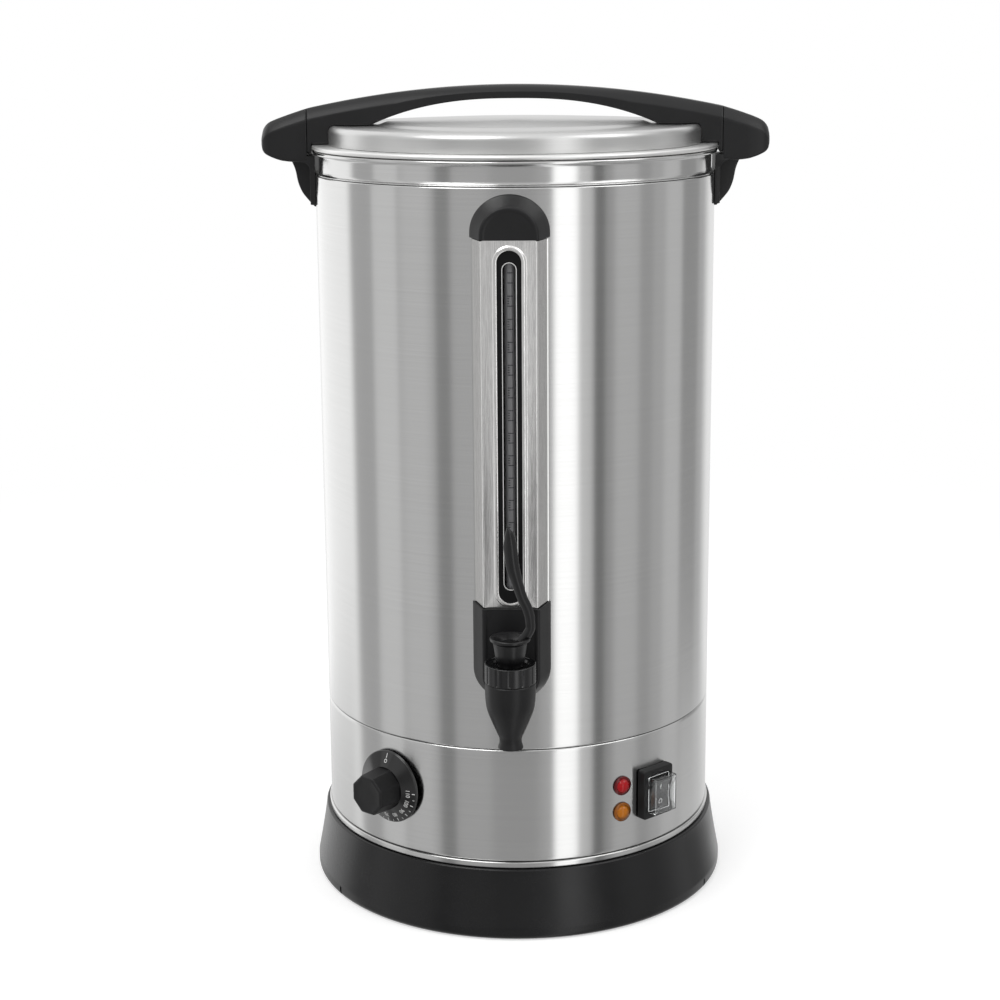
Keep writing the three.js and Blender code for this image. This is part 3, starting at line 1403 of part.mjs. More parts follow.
function leads() {
  const top = plateThickness + seatGap + terminalHeight + seatGap;
  const back = terminalPlace + terminalDepth / 2 + seatGap;
  const rear = new THREE.Vector3(0, 0, -switchBodyDepth - seatGap);
  rear.applyMatrix4(shellFrame(switchAngle, switchHeight));
  const spread = leadRadius * 2.5;
  const elementFoot = heaterBottom - seatGap - elementRadius - elementLegLength - seatGap;
  const side = elementRingRadius * Math.sin(THREE.MathUtils.degToRad(elementGapAngle / 2));
  const ahead = elementRingRadius * Math.cos(THREE.MathUtils.degToRad(elementGapAngle / 2));
  const supply = route([[0, glandInner + glandBore, glandHeight], [0, glandInner - spread, glandHeight],
    [0, back + spread * 2, (glandHeight + top / 2) / 2], [0, back + spread, top / 2], [0, back, top / 2]]);
  const well = terminalWidth / 3;
  const wellFloor = top - seatGap - terminalHeight / 2 + seatGap;
  const toSwitch = route([[well, terminalPlace, wellFloor], [well, terminalPlace, (wellFloor + top) / 2],
    [well, terminalPlace, top + spread], [well * 3, terminalPlace * 0.8, top * 2],
    [bodyRadius * 0.62, terminalPlace * 0.2, switchHeight * 0.7],
    [rear.x * 1.02, rear.y * 0.5, switchHeight - spread],
    [rear.x * 0.93, rear.y * 0.9, switchHeight - spread],
    [rear.x - leadRadius / 2, rear.y + leadRadius, switchHeight - spread]]);
  const toHeater = route([[rear.x - leadRadius / 2, rear.y + leadRadius, switchHeight + spread],
    [rear.x * 0.9, rear.y * 0.85, switchHeight + spread],
    [rear.x * 0.9, rear.y * 0.3, switchHeight + spread],
    [side * 2.2, ahead * 0.9, elementFoot - spread * 2], [side, ahead, elementFoot - spread],
    [side, ahead, elementFoot]]);
  return [
    piece('supply_lead', wire(supply, leadRadius, leadSteps / 2, elementSides), 'insulation'),
    piece('switch_lead', wire(toSwitch, leadRadius, leadSteps, elementSides), 'insulation'),
    piece('heater_lead', wire(toHeater, leadRadius, leadSteps, elementSides), 'insulation'),
  ];
}

// The urn

const urn = new THREE.Group();
urn.name = 'hot_water_urn';
urn.add(outerBody(), upperCollar(), innerTank(), controlBand(), baseTrimRing(), baseSkirt(), bottomPlate());
urn.add(...baseScrews());
urn.add(heaterPlate(), heatingElement(), thermalCutout(), thermostatBulb());
urn.add(lidShell(), lidGasket(), lidHandle());
urn.add(handleScrew('handle_screw_left', -1), handleScrew('handle_screw_right', 1));
urn.add(sideHandle('side_handle_left', -1), sideHandle('side_handle_right', 1));
urn.add(earScrew('side_screw_left', -1), earScrew('side_screw_right', 1));
urn.add(gaugeCover(), gaugeStrip(), sightTube(), gaugeBlock(), gaugeTopCap(), tapHousing());
urn.add(tubeSeal('tube_seal_lower', blockTop - sealHeight));
urn.add(tubeSeal('tube_seal_upper', gaugeTop + seatGap));
urn.add(tapBody(), tapBonnet(), tapStem(), tapPin(), tapSeatCup(), tapSpring(), tapLever());
urn.add(...shankFasteners());
urn.add(group(shellFrame(knobAngle, knobHeight), thermostatKnob(), thermostatShaft(), thermostatBody(),
  thermostatScrew('thermostat_screw_upper', 1), thermostatScrew('thermostat_screw_lower', -1)));
urn.add(group(shellFrame(switchAngle, switchHeight), switchHousing(), switchRocker(), switchCover()));
urn.add(lamp('red_lamp', redLampHeight, 'redLens'), lamp('amber_lamp', amberLampHeight, 'amberLens'));
urn.add(cordGland(), glandNut(), terminalBlock(), ...leads());

export default urn;
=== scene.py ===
import json
import logging
import math
from dataclasses import dataclass, field
from enum import Enum
from typing import Any, Optional, Sequence, Union

import bpy
import numpy as np
from mathutils import Matrix, Vector

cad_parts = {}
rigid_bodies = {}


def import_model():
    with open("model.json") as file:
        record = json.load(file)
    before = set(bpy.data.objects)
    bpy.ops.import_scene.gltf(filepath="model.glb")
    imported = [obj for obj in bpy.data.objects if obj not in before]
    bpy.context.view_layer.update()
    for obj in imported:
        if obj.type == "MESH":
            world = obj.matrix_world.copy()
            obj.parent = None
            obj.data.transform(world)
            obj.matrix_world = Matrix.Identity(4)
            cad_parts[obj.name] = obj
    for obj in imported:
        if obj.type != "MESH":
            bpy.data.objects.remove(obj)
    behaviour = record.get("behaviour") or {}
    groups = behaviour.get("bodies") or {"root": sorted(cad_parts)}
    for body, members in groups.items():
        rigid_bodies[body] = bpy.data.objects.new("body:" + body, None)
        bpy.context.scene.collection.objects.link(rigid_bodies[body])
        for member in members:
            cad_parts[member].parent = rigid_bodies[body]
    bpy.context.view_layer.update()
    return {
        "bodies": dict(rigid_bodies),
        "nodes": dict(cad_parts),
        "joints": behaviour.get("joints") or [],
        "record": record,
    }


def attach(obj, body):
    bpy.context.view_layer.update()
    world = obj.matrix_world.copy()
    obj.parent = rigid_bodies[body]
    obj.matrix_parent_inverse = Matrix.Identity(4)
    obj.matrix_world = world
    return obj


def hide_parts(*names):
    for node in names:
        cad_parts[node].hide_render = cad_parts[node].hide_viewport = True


LOG = logging.getLogger("urn")
MM = 0.001
SIDES = 256
FIGURE_TYPE = 1.37  # size of type whose figures are 1 high
HUB = 0.02  # radius that stands for the axis, so that no fan has zero area
Array = np.ndarray
Pair = tuple[float, float]
Triple = tuple[float, float, float]
Four = tuple[float, float, float, float]
Pairs = tuple[Pair, ...]


# Outlines

def arc(centre: Sequence[float], radius: float, start: float, end: float, steps: int) -> Array:
    """Points centre + radius (cos t, sin t) for t from start to end in degrees.

    Args:
        centre: the arc's centre.
        radius: its radius.
        start: first angle.
        end: last angle.
        steps: number of parts.

    Returns:
        An array of steps + 1 points.
    """
    t = np.radians(np.linspace(start, end, steps + 1))
    return np.stack([centre[0] + radius * np.cos(t), centre[1] + radius * np.sin(t)], 1)


def rounded(points: Sequence[Sequence[float]], radii: Union[float, Sequence[float]], steps: int = 5,
            closed: bool = True) -> Array:
    """Each corner becomes an arc that touches both of its edges.

    The arc's centre lies on the corner's bisector at radius / sin(half angle).

    Args:
        points: the corners, in order.
        radii: one radius, or one for each corner.
        steps: parts of each arc.
        closed: whether the last corner joins the first.

    Returns:
        The rounded outline's points.
    """
    corners = np.asarray(points, float)
    count = len(corners)
    sizes = np.broadcast_to(np.asarray(radii, float), (count,))
    out = []
    for i in range(count):
        here = corners[i]
        if sizes[i] <= 0 or (not closed and i in (0, count - 1)):
            out.append(here[None])
            continue
        back, on = corners[i - 1] - here, corners[(i + 1) % count] - here
        back_length, on_length = np.linalg.norm(back), np.linalg.norm(on)
        back, on = back / back_length, on / on_length
        half = 0.5 * math.acos(float(np.clip(back @ on, -1, 1)))
        if half > math.radians(89.5) or half < math.radians(1):
            out.append(here[None])
            continue
        reach = min(sizes[i] / math.tan(half), 0.49 * back_length, 0.49 * on_length)
        radius = reach * math.tan(half)
        middle = back + on
        centre = here + middle / np.linalg.norm(middle) * radius / math.sin(half)
        first = math.atan2(*(here + back * reach - centre)[::-1])
        last = math.atan2(*(here + on * reach - centre)[::-1])
        turn = (last - first + math.pi) % (2 * math.pi) - math.pi
        t = first + turn * np.linspace(0, 1, steps + 1)
        out.append(np.stack([centre[0] + radius * np.cos(t), centre[1] + radius * np.sin(t)], 1))
    return np.concatenate(out)


def held(points: Array, reach: float = 0.5, closed: bool = True) -> Array:
    """Long edges get one more point near each end, so that smooth shading stays at the rounds.

    Args:
        points: the outline.
        reach: how far from each end; an edge is long past five times this.
        closed: whether the last point joins the first.

    Returns:
        The outline with the points added.
    """
    ahead = np.roll(points, -1, 0)
    length = np.linalg.norm(ahead - points, axis=1)
    long = length > 5 * reach
    if not closed:
        long[-1] = False
    along = (ahead - points) / np.maximum(length, 1e-9)[:, None] * reach
    wanted = np.stack([np.ones_like(long), long, long], 1)
    return np.stack([points, points + along, ahead - along], 1)[wanted]


def eased(xs: Sequence[float], ys: Array, at: Array) -> Array:
    """A smooth line through points: cubic pieces whose slopes never overshoot.

    Each slope is the harmonic mean of the chords beside it, or zero where they change sign.

    Args:
        xs: where the points lie, rising.
        ys: their values, one row a point.
        at: where the line is wanted.

    Returns:
        The values there.
    """
    x, y = np.asarray(xs, float), np.asarray(ys, float).reshape(len(xs), -1)
    step = np.diff(x)[:, None]
    chord = np.diff(y, axis=0) / step
    slope = np.zeros_like(y)
    same = chord[:-1] * chord[1:] > 0
    total = np.where(same, chord[:-1] + chord[1:], 1)
    slope[1:-1] = np.where(same, 2 * chord[:-1] * chord[1:] / total, 0)
    slope[0], slope[-1] = chord[0], chord[-1]
    i = np.clip(np.searchsorted(x, at, side="right") - 1, 0, len(x) - 2)
    t = ((at - x[i]) / (x[i + 1] - x[i]))[:, None]
    h = step[i]
    low = (1 + 2 * t) * (1 - t) ** 2 * y[i] + t * (1 - t) ** 2 * h * slope[i]
    return low + t * t * (3 - 2 * t) * y[i + 1] + t * t * (t - 1) * h * slope[i + 1]


def frame_loop(half: float, low: float, high: float, radius: float, corner: int = 10, side: int = 8) -> Array:
    """An upright rectangle with rounded corners, always with as many points in the same order.

    Args:
        half: half its width.
        low: its lower height.
        high: its upper height.
        radius: its corners' radius.
        corner: parts of each corner.
        side: parts of each long side.

    Returns:
        Points (x, z), from the lower right corner round to the left.
    """
    r = min(radius, half - 0.01)
    right = np.stack([np.full(side - 1, half), np.linspace(low + r, high - r, side + 1)[1:-1]], 1)
    left = right[::-1] * [-1, 1]
    top = [arc((half - r, high - r), r, 0, 90, corner), arc((r - half, high - r), r, 90, 180, corner)]
    base = [arc((r - half, low + r), r, 180, 270, corner), arc((half - r, low + r), r, 270, 360, corner)]
    return np.concatenate([right, *top, left, *base])


def arch_loop(half: float, centre: float, share: float, end: float, corner: float = 0.6,
              steps: int = 48) -> Array:
    """Half an ellipse, two straight sides and a straight end, in the plane of X and Z.

    Args:
        half: half the width.
        centre: height of the ellipse's centre.
        share: the ellipse's height as a share of its half width.
        end: height of the straight end.
        corner: radius of the end's corners.
        steps: parts of the half ellipse.

    Returns:
        Points (x, z) of the closed loop.
    """
    up = 1.0 if end > centre else -1.0
    t = np.radians(np.linspace(0, 180, steps + 1))
    round_part = np.stack([half * np.cos(t), centre - up * half * share * np.sin(t)], 1)
    corners = rounded([[-half, centre], [-half, end], [half, end], [half, centre]],
                      [0, corner, corner, 0], 4, False)
    middle = np.stack([np.linspace(-half + corner, half - corner, 14)[1:-1], np.full(12, end)], 1)
    return np.concatenate([round_part, corners[1:6], middle, corners[6:-1]])


def facing(loop: Array, forward: float) -> Array:
    """A loop of (x, z) points stood upright, this far forward of the urn's axis."""
    return np.stack([loop[:, 0], np.full(len(loop), -forward), loop[:, 1]], 1)


def lying(loop: Array, z: float) -> Array:
    """A loop of (x, y) points laid level at a height."""
    return np.stack([loop[:, 0], loop[:, 1], np.full(len(loop), z)], 1)


def around(sides: int) -> Array:
    """Even azimuths in degrees."""
    return np.linspace(0, 360, sides, endpoint=False)


# Skins

@dataclass
class Lump:
    """One closed skin in millimetres.

    Args:
        points: places of its points.
        quads: its four-sided faces.
        tris: its three-sided faces.
        finish: which of the piece's finishes it takes.
    """

    points: Array
    quads: Array
    tris: Array = field(default_factory=lambda: np.zeros((0, 3), int))
    finish: int = 0

    def moved(self, frame: Array) -> "Lump":
        """The lump carried by a 4 x 4 frame."""
        points = self.points @ frame[:3, :3].T + frame[:3, 3]
        return Lump(points, self.quads, self.tris, self.finish)

    def outward(self) -> "Lump":
        """The same lump with its faces outwards: the signed volume sum a . (b x c) / 6 comes out positive."""
        tris = np.concatenate([self.tris, self.quads[:, [0, 1, 2]], self.quads[:, [0, 2, 3]]])
        a, b, c = (self.points[tris[:, k]] for k in range(3))
        if np.einsum("ij,ij->", a, np.cross(b, c)) >= 0:
            return self
        return Lump(self.points, self.quads[:, ::-1], self.tris[:, ::-1], self.finish)


def skin(grid: Array, ring: bool = False, finish: int = 0) -> Lump:
    """Rows of points become one closed skin.

    Columns always close up; rows close up or get a fan over each end.

    Args:
        grid: rows x columns x 3 points.
        ring: whether the last row joins the first.
        finish: which of the piece's finishes it takes.

    Returns:
        The lump, faces outwards.
    """
    rows, columns = grid.shape[:2]
    index = np.arange(rows * columns).reshape(rows, columns)
    lower = index if ring else index[:-1]
    upper = np.roll(index, -1, 0) if ring else index[1:]
    quads = np.stack([lower, np.roll(lower, -1, 1), np.roll(upper, -1, 1), upper], -1).reshape(-1, 4)
    points, tris = grid.reshape(-1, 3), np.zeros((0, 3), int)
    if not ring:
        points = np.concatenate([points, grid[[0, -1]].mean(1)])
        hub = rows * columns
        first = np.stack([np.roll(index[0], -1), index[0], np.full(columns, hub)], -1)
        last = np.stack([index[-1], np.roll(index[-1], -1), np.full(columns, hub + 1)], -1)
        tris = np.concatenate([first, last])
    return Lump(points, quads, tris, finish).outward()


def turned(profile: Array, sides: int = SIDES, finish: int = 0, angles: Optional[Array] = None,
           carve: Optional[Array] = None) -> Lump:
    """A closed profile of (radius, height) points goes round Z: x = r sin a, y = -r cos a, z = height.

    Args:
        profile: the closed profile.
        sides: steps round the axis.
        finish: which finish it takes.
        angles: azimuths in degrees, 0 at the front, where they aren't even.
        carve: rows x angles of what is taken off the radius.

    Returns:
        The ring-shaped skin.
    """
    a = np.radians(around(sides) if angles is None else angles)
    radius = np.repeat(profile[:, :1], len(a), 1)
    if carve is not None:
        radius = radius - carve
    height = np.repeat(profile[:, 1:], len(a), 1)
    return skin(np.stack([radius * np.sin(a), -radius * np.cos(a), height], -1), True, finish)


def domed(profile: Array, sides: int = SIDES, finish: int = 0) -> Lump:
    """An open profile from the axis to the axis goes round Z, its two ends closed by small fans.

    Args:
        profile: (radius, height) points, the first and last near the axis.
        sides: steps round the axis.
        finish: which finish it takes.

    Returns:
        The solid-looking skin.
    """
    a = np.linspace(0, 2 * math.pi, sides, endpoint=False)
    radius = np.maximum(profile[:, :1], HUB) * np.ones(sides)
    height = np.repeat(profile[:, 1:], sides, 1)
    return skin(np.stack([radius * np.sin(a), -radius * np.cos(a), height], -1), False, finish)


def stacked(outlines: Sequence[Array], finish: int = 0, ring: bool = False) -> Lump:
    """Closed outlines of (x, y, z) points, with as many points each, joined row by row."""
    return skin(np.stack(outlines), ring, finish)


def upright_frame(x: float, y: float, z: float) -> Array:
    """A frame moved to a place without turning."""
    out = np.eye(4)
    out[:3, 3] = (x, y, z)
    return out


def shell_frame(degrees: float, height: float, radius: float = 150.0) -> Array:
    """The frame of a control on the shell: X to the right, Y up, Z outwards.

    Args:
        degrees: azimuth, 0 at the front and rising to the right.
        height: its height.
        radius: the shell's radius.

    Returns:
        A 4 x 4 array.
    """
    a = math.radians(degrees)
    out = np.eye(4)
    out[:3, 0] = (math.cos(a), math.sin(a), 0)
    out[:3, 1] = (0, 0, 1)
    out[:3, 2] = (math.sin(a), -math.cos(a), 0)
    out[:3, 3] = (radius * math.sin(a), -radius * math.cos(a), height)
    return out


@dataclass(frozen=True)
class Spot:
    """Where a control sits on the band.

    Args:
        azimuth: degrees, 0 at the front and rising to the right.
        height: its height.
    """

    azimuth: float
    height: float

    def frame(self) -> Array:
        """The control's frame: X to the right, Y up, Z outwards."""
        return shell_frame(self.azimuth, self.height)


KNOB_SPOT = Spot(-37.5, 104.6)
SWITCH_SPOT = Spot(43.28, 98.5)
RED_SPOT = Spot(32.2, 108.3)
AMBER_SPOT = Spot(32.2, 87.8)


def level_frame(height: float, towards: float = -1.0) -> Array:
    """A frame whose Z runs level towards the front (-1) or the back (1), with its origin on the axis."""
    out = np.eye(4)
    out[:3, 0] = (-towards, 0, 0)
    out[:3, 1] = (0, 0, 1)
    out[:3, 2] = (0, towards, 0)
    out[:3, 3] = (0, 0, height)
    return out


def lettering(text: str, size: float, raise_by: float = 0.03) -> Lump:
    """Figures as a thin flat skin, centred on the origin and reading along X.

    Args:
        text: the figures.
        size: their height in millimetres.
        raise_by: half their thickness.

    Returns:
        The lump.
    """
    curve = bpy.data.curves.new("figures", "FONT")
    curve.body, curve.size, curve.extrude = text, size * FIGURE_TYPE, raise_by
    curve.align_x, curve.align_y, curve.resolution_u = "CENTER", "CENTER", 4
    holder = bpy.data.objects.new("figures", curve)
    bpy.context.scene.collection.objects.link(holder)
    mesh = bpy.data.meshes.new_from_object(holder.evaluated_get(bpy.context.evaluated_depsgraph_get()))
    mesh.calc_loop_triangles()
    points = np.zeros(len(mesh.vertices) * 3)
    mesh.vertices.foreach_get("co", points)
    tris = np.zeros(len(mesh.loop_triangles) * 3, int)
    mesh.loop_triangles.foreach_get("vertices", tris)
    bpy.data.objects.remove(holder)
    return Lump(points.reshape(-1, 3), np.zeros((0, 4), int), tris.reshape(-1, 3))


# Shader maths

class Wire:
    """One output socket, with arithmetic that adds Math nodes."""

    def __init__(self, tree: "Tree", socket: bpy.types.NodeSocket) -> None:
        """Keeps the tree and the socket."""
        self.tree, self.socket = tree, socket

    def __add__(self, other: "Term") -> "Wire":
        """Sum."""
        return self.tree.maths("ADD", self, other)

    __radd__ = __add__

    def __sub__(self, other: "Term") -> "Wire":
        """Difference."""
        return self.tree.maths("SUBTRACT", self, other)

    def __rsub__(self, other: "Term") -> "Wire":
        """Difference from a number."""
        return self.tree.maths("SUBTRACT", other, self)

    def __mul__(self, other: "Term") -> "Wire":
        """Product."""
        return self.tree.maths("MULTIPLY", self, other)

    __rmul__ = __mul__

    def ramp(self, low: float, high: float) -> "Wire":
        """0 below low, 1 above high, and smooth between them."""
        return self.tree.node("ShaderNodeMapRange", {"interpolation_type": "SMOOTHSTEP"},
                              {"Value": self, "From Min": low, "From Max": high})


Term = Union[Wire, float, Sequence[float]]


class Tree:
    """A node tree, filled by one method for any node."""

    def __init__(self, tree: bpy.types.NodeTree) -> None:
        """Empties the tree and keeps it."""
        tree.nodes.clear()
        self.tree = tree

    def node(self, kind: str, settings: Optional[dict[str, Any]] = None,
             values: Optional[dict[Any, Term]] = None, output: Any = 0) -> Wire:
        """Adds a node.

        Args:
            kind: the node's type.
            settings: its properties, set first.
            values: values or wires of its sockets, by name or number.
            output: which output is wanted.

        Returns:
            The output as a wire.
        """
        made = self.tree.nodes.new(kind)
        for name, value in (settings or {}).items():
            setattr(made, name, value)
        for name, value in (values or {}).items():
            if isinstance(value, Wire):
                self.tree.links.new(value.socket, made.inputs[name])
            else:
                made.inputs[name].default_value = value
        return Wire(self, made.outputs[output] if len(made.outputs) else None)

    def maths(self, operation: str, *terms: Term) -> Wire:
        """One Math node on one to three terms."""
        return self.node("ShaderNodeMath", {"operation": operation}, dict(enumerate(terms)))

    def vector(self, operation: str, *terms: Term, output: int = 0) -> Wire:
        """One Vector Math node."""
        return self.node("ShaderNodeVectorMath", {"operation": operation}, dict(enumerate(terms)), output)

    def blend(self, factor: Term, first: Term, second: Term) -> Wire:
        """Mixes two colours."""
        return self.node("ShaderNodeMix", {"data_type": "RGBA"}, {0: factor, 6: first, 7: second}, 2)

    def place(self) -> Wire:
        """The object coordinates, in metres."""
        return self.node("ShaderNodeTexCoord", output="Object")

    def noise(self, at: Wire, scale: Sequence[float], detail: float = 2.0, rough: float = 0.5) -> Wire:
        """Noise, with its own scale along each axis.

        Args:
            at: the coordinates.
            scale: waves per metre along X, Y and Z.
            detail: octaves.
            rough: how much the fine octaves count.

        Returns:
            A value about 0.5.
        """
        return self.node("ShaderNodeTexNoise", None, {
            "Vector": self.vector("MULTIPLY", at, scale), "Scale": 1.0, "Detail": detail, "Roughness": rough})

    def bump(self, height: Wire, distance: float, strength: float = 1.0) -> Wire:
        """A Bump node over a height from 0 to 1, its full depth given in millimetres."""
        return self.node("ShaderNodeBump", None, {
            "Height": height, "Distance": distance * MM, "Strength": strength})

    def seen(self) -> Wire:
        """1 for what the camera sees straight or through glass, 0 for light and mirror images."""
        return self.maths("MAXIMUM", *(self.node("ShaderNodeLightPath", output=name)
                                       for name in ("Is Camera Ray", "Is Transmission Ray")))

    def principled(self, values: dict[Any, Term]) -> Wire:
        """A Principled surface."""
        return self.node("ShaderNodeBsdfPrincipled", None, values)


def grey(level: float) -> Four:
    """A neutral colour."""
    return (level, level, level, 1.0)


# Finishes

@dataclass(frozen=True)
class Finish:
    """What every finish has.

    Args:
        name: the material's name.
        colour: its base colour.
        rough: its roughness.
    """

    name: str
    colour: Triple = (0.5, 0.5, 0.5)
    rough: float = 0.4

    def material(self) -> bpy.types.Material:
        """Makes the material, or finds it if it is made."""
        name = self.name + "_finish"
        found = bpy.data.materials.get(name)
        if found:
            return found
        made = bpy.data.materials.new(name)
        made.use_nodes = True
        made.diffuse_color = self.tint()
        tree = Tree(made.node_tree)
        surface = self.surface(tree)
        tree.node("ShaderNodeOutputMaterial", None, {"Surface": surface})
        return made

    def tint(self, share: float = 1.0) -> tuple[float, ...]:
        """The base colour, darker or lighter, with full opacity."""
        return (*(min(1.0, value * share) for value in self.colour), 1.0)

    def surface(self, tree: Tree) -> Wire:
        """The finish's shader."""
        raise NotImplementedError


class Brush(Enum):
    """Which way the brushing of steel runs, as its waves per metre along X, Y and Z."""

    ROUND = (9, 9, 3200)
    UPRIGHT = (1700, 1700, 90)
    FINE = (1400, 1400, 1400)


@dataclass(frozen=True)
class Steel(Finish):
    """Stainless sheet with brushing, faint mottling and wiping marks.

    Args:
        brush: which way the scratches run.
        stretch: how much the highlight is drawn out across the scratches.
        scratch: depth of the scratches in millimetres.
        mottle: how much the roughness varies.
        grain: how much darker the scratches are than the sheet.
    """

    brush: Brush = Brush.ROUND
    stretch: float = 0.9
    scratch: float = 0.0006
    mottle: float = 0.02
    grain: float = 0.05

    def surface(self, tree: Tree) -> Wire:
        """Metal whose scratches are noise drawn out along the brushing."""
        at = tree.place()
        fine = tree.noise(at, self.brush.value)
        broad = tree.noise(at, tuple(value / 4 for value in self.brush.value))
        cloud = tree.noise(at, (22, 22, 22), 3)
        rough = self.rough + (fine - 0.5) * 0.04 + (cloud - 0.5) * self.mottle
        shade = tree.blend((fine * 0.7 + broad * 0.3).ramp(0.3, 0.7), self.tint(1 - self.grain), self.tint())
        return tree.principled({
            "Base Color": shade, "Metallic": 1.0, "Roughness": rough,
            "Anisotropic": self.stretch, "Anisotropic Rotation": 0.25 if self.brush is Brush.ROUND else 0.0,
            "Normal": tree.bump(fine, self.scratch)})


@dataclass(frozen=True)
class Plastic(Finish):
    """Moulded plastic with a spark texture, faint flow clouding and rubbed spots.

    Args:
        grain: waves of the texture per metre.
        depth: the texture's depth in millimetres.
        cloud: how much the colour varies.
        shine: how strongly it mirrors, 0.5 for common plastic.
    """

    grain: float = 2200.0
    depth: float = 0.02
    cloud: float = 0.12
    shine: float = 0.35

    def surface(self, tree: Tree) -> Wire:
        """Plastic whose roughness and colour drift slowly, over a fine grain."""
        at = tree.place()
        grain = tree.noise(at, (self.grain,) * 3, 2, 0.6)
        drift = tree.noise(at, (35, 35, 35), 4, 0.6)
        rub = tree.noise(at, (9, 9, 14), 2).ramp(0.52, 0.7)
        shade = tree.blend(drift.ramp(0.3, 0.7), self.tint(1 - self.cloud), self.tint(1 + self.cloud))
        rough = self.rough + (drift - 0.5) * 0.10 - rub * 0.04 + (grain - 0.5) * 0.05
        return tree.principled({"Base Color": shade, "Roughness": rough, "Specular IOR Level": self.shine,
                                "Normal": tree.bump(grain, self.depth, 0.7)})


@dataclass(frozen=True)
class Clear(Finish):
    """Glass or clear plastic.

    Args:
        ior: how much it bends light.
        passing: how much light goes through it.
    """

    ior: float = 1.46
    passing: float = 1.0

    def surface(self, tree: Tree) -> Wire:
        """Transmission, with smears in its gloss."""
        smear = tree.noise(tree.place(), (60, 60, 20), 3)
        return tree.principled({
            "Base Color": tree.blend(smear, self.tint(), self.tint(0.97)),
            "Roughness": self.rough + (smear - 0.5) * 0.05, "IOR": self.ior,
            "Transmission Weight": self.passing})


@dataclass(frozen=True)
class Lens(Finish):
    """A coloured lens with a fine grid moulded inside it."""

    def surface(self, tree: Tree) -> Wire:
        """Glossy colour, deeper on the lines of the grid; painted shade deepens it where the dome turns away
        from the view.
        """
        grid = tree.node("ShaderNodeTexVoronoi", {"distance": "CHEBYCHEV"}, {
            "Vector": tree.place(), "Scale": 950.0, "Randomness": 0.15})
        # painted shade: the lens colour is made deeper where the dome turns away from the view
        painted_edge_shade = tree.node("ShaderNodeLayerWeight", None, {"Blend": 0.5}, "Facing").ramp(0.15, 0.6)
        shade = tree.blend(painted_edge_shade * 0.75 + grid.ramp(0.3, 0.5) * 0.2, self.tint(), self.tint(0.22))
        return tree.principled({
            "Base Color": shade, "Roughness": self.rough + grid * 0.03, "Specular IOR Level": 0.35,
            "Normal": tree.bump(grid, 0.01, 0.2)})


@dataclass(frozen=True)
class Ink(Finish):
    """Screen print, a little worn."""

    def surface(self, tree: Tree) -> Wire:
        """Print with a fine mottle."""
        speck = tree.noise(tree.place(), (1800, 1800, 1800), 3)
        return tree.principled({
            "Base Color": tree.blend(speck.ramp(0.35, 0.6), self.tint(0.8), self.tint()),
            "Roughness": self.rough + (speck - 0.5) * 0.1, "Normal": tree.bump(speck, 0.01, 0.4)})


SHELL_STEEL = Steel("body_steel", (0.62, 0.62, 0.615), 0.19)
LID_STEEL = Steel("lid_steel", (0.64, 0.64, 0.635), 0.36, Brush.ROUND, 0.4)
COVER_STEEL = Steel("gauge_steel", (0.94, 0.93, 0.92), 0.17, Brush.UPRIGHT, 0.8, 0.0012, 0.05, 0.18)
BRIGHT_STEEL = Steel("bright_steel", (0.66, 0.66, 0.65), 0.16, Brush.FINE, 0.0, 0.001)
TANK_STEEL = Steel("tank_steel", (0.84, 0.84, 0.83), 0.42, Brush.ROUND, 0.3)
ALUMINIUM = Steel("aluminium", (0.72, 0.72, 0.73), 0.38, Brush.FINE, 0.0, 0.004)
BRASS = Steel("brass", (0.72, 0.52, 0.25), 0.30, Brush.FINE, 0.0, 0.003)
BLACK = Plastic("black_plastic", (0.0075, 0.0075, 0.008), 0.42)
BASE_BLACK = Plastic("base_plastic", (0.007, 0.007, 0.0075), 0.27, 2600.0, 0.008)
KNOB_BLACK = Plastic("knob_plastic", (0.0065, 0.0065, 0.007), 0.46, 2600.0, 0.006, 0.2)
KNOB_GLOSS = Plastic("knob_gloss", (0.002, 0.002, 0.0022), 0.12, 2600.0, 0.003, 0.2, 0.75)
TAP_BLACK = Plastic("tap_plastic", (0.006, 0.006, 0.0065), 0.40, 2600.0, 0.006, 0.2)
TAP_GLOSS = Plastic("tap_gloss", (0.004, 0.004, 0.0045), 0.2, 2600.0, 0.004, 0.2, 0.5)
LEVER_BLACK = Plastic("lever_plastic", (0.005, 0.005, 0.0055), 0.3, 2600.0, 0.004, 0.2, 0.45)
STRIP_BLACK = Plastic("scale_strip", (0.003, 0.003, 0.0035), 0.34, 3000.0, 0.004, 0.12, 0.2)
ROCKER_GREY = Plastic("rocker_plastic", (0.03, 0.03, 0.031), 0.35, 2600.0, 0.006)
NYLON = Plastic("nylon", (0.62, 0.60, 0.55), 0.45, 1200.0, 0.01)
SILICONE = Plastic("silicone", (0.60, 0.60, 0.57), 0.55, 900.0, 0.01)
SLEEVE = Plastic("insulation", (0.55, 0.52, 0.45), 0.6, 1500.0, 0.02)
GLASS = Clear("clear_tube", (0.36, 0.36, 0.37), 0.16, 1.46, 0.55)
COVER_CLEAR = Clear("clear_cover", (0.96, 0.97, 0.97), 0.03)
RED = Lens("red_lens", (0.42, 0.002, 0.006), 0.12)
RED_RIM = Lens("red_rim", (0.13, 0.001, 0.003), 0.12)
AMBER = Lens("amber_lens", (0.50, 0.155, 0.004), 0.12)
AMBER_RIM = Lens("amber_rim", (0.30, 0.09, 0.004), 0.12)
WHITE_INK = Ink("white_print", (0.78, 0.78, 0.77), 0.5)
DARK_INK = Ink("dark_print", (0.010, 0.010, 0.011), 0.5)

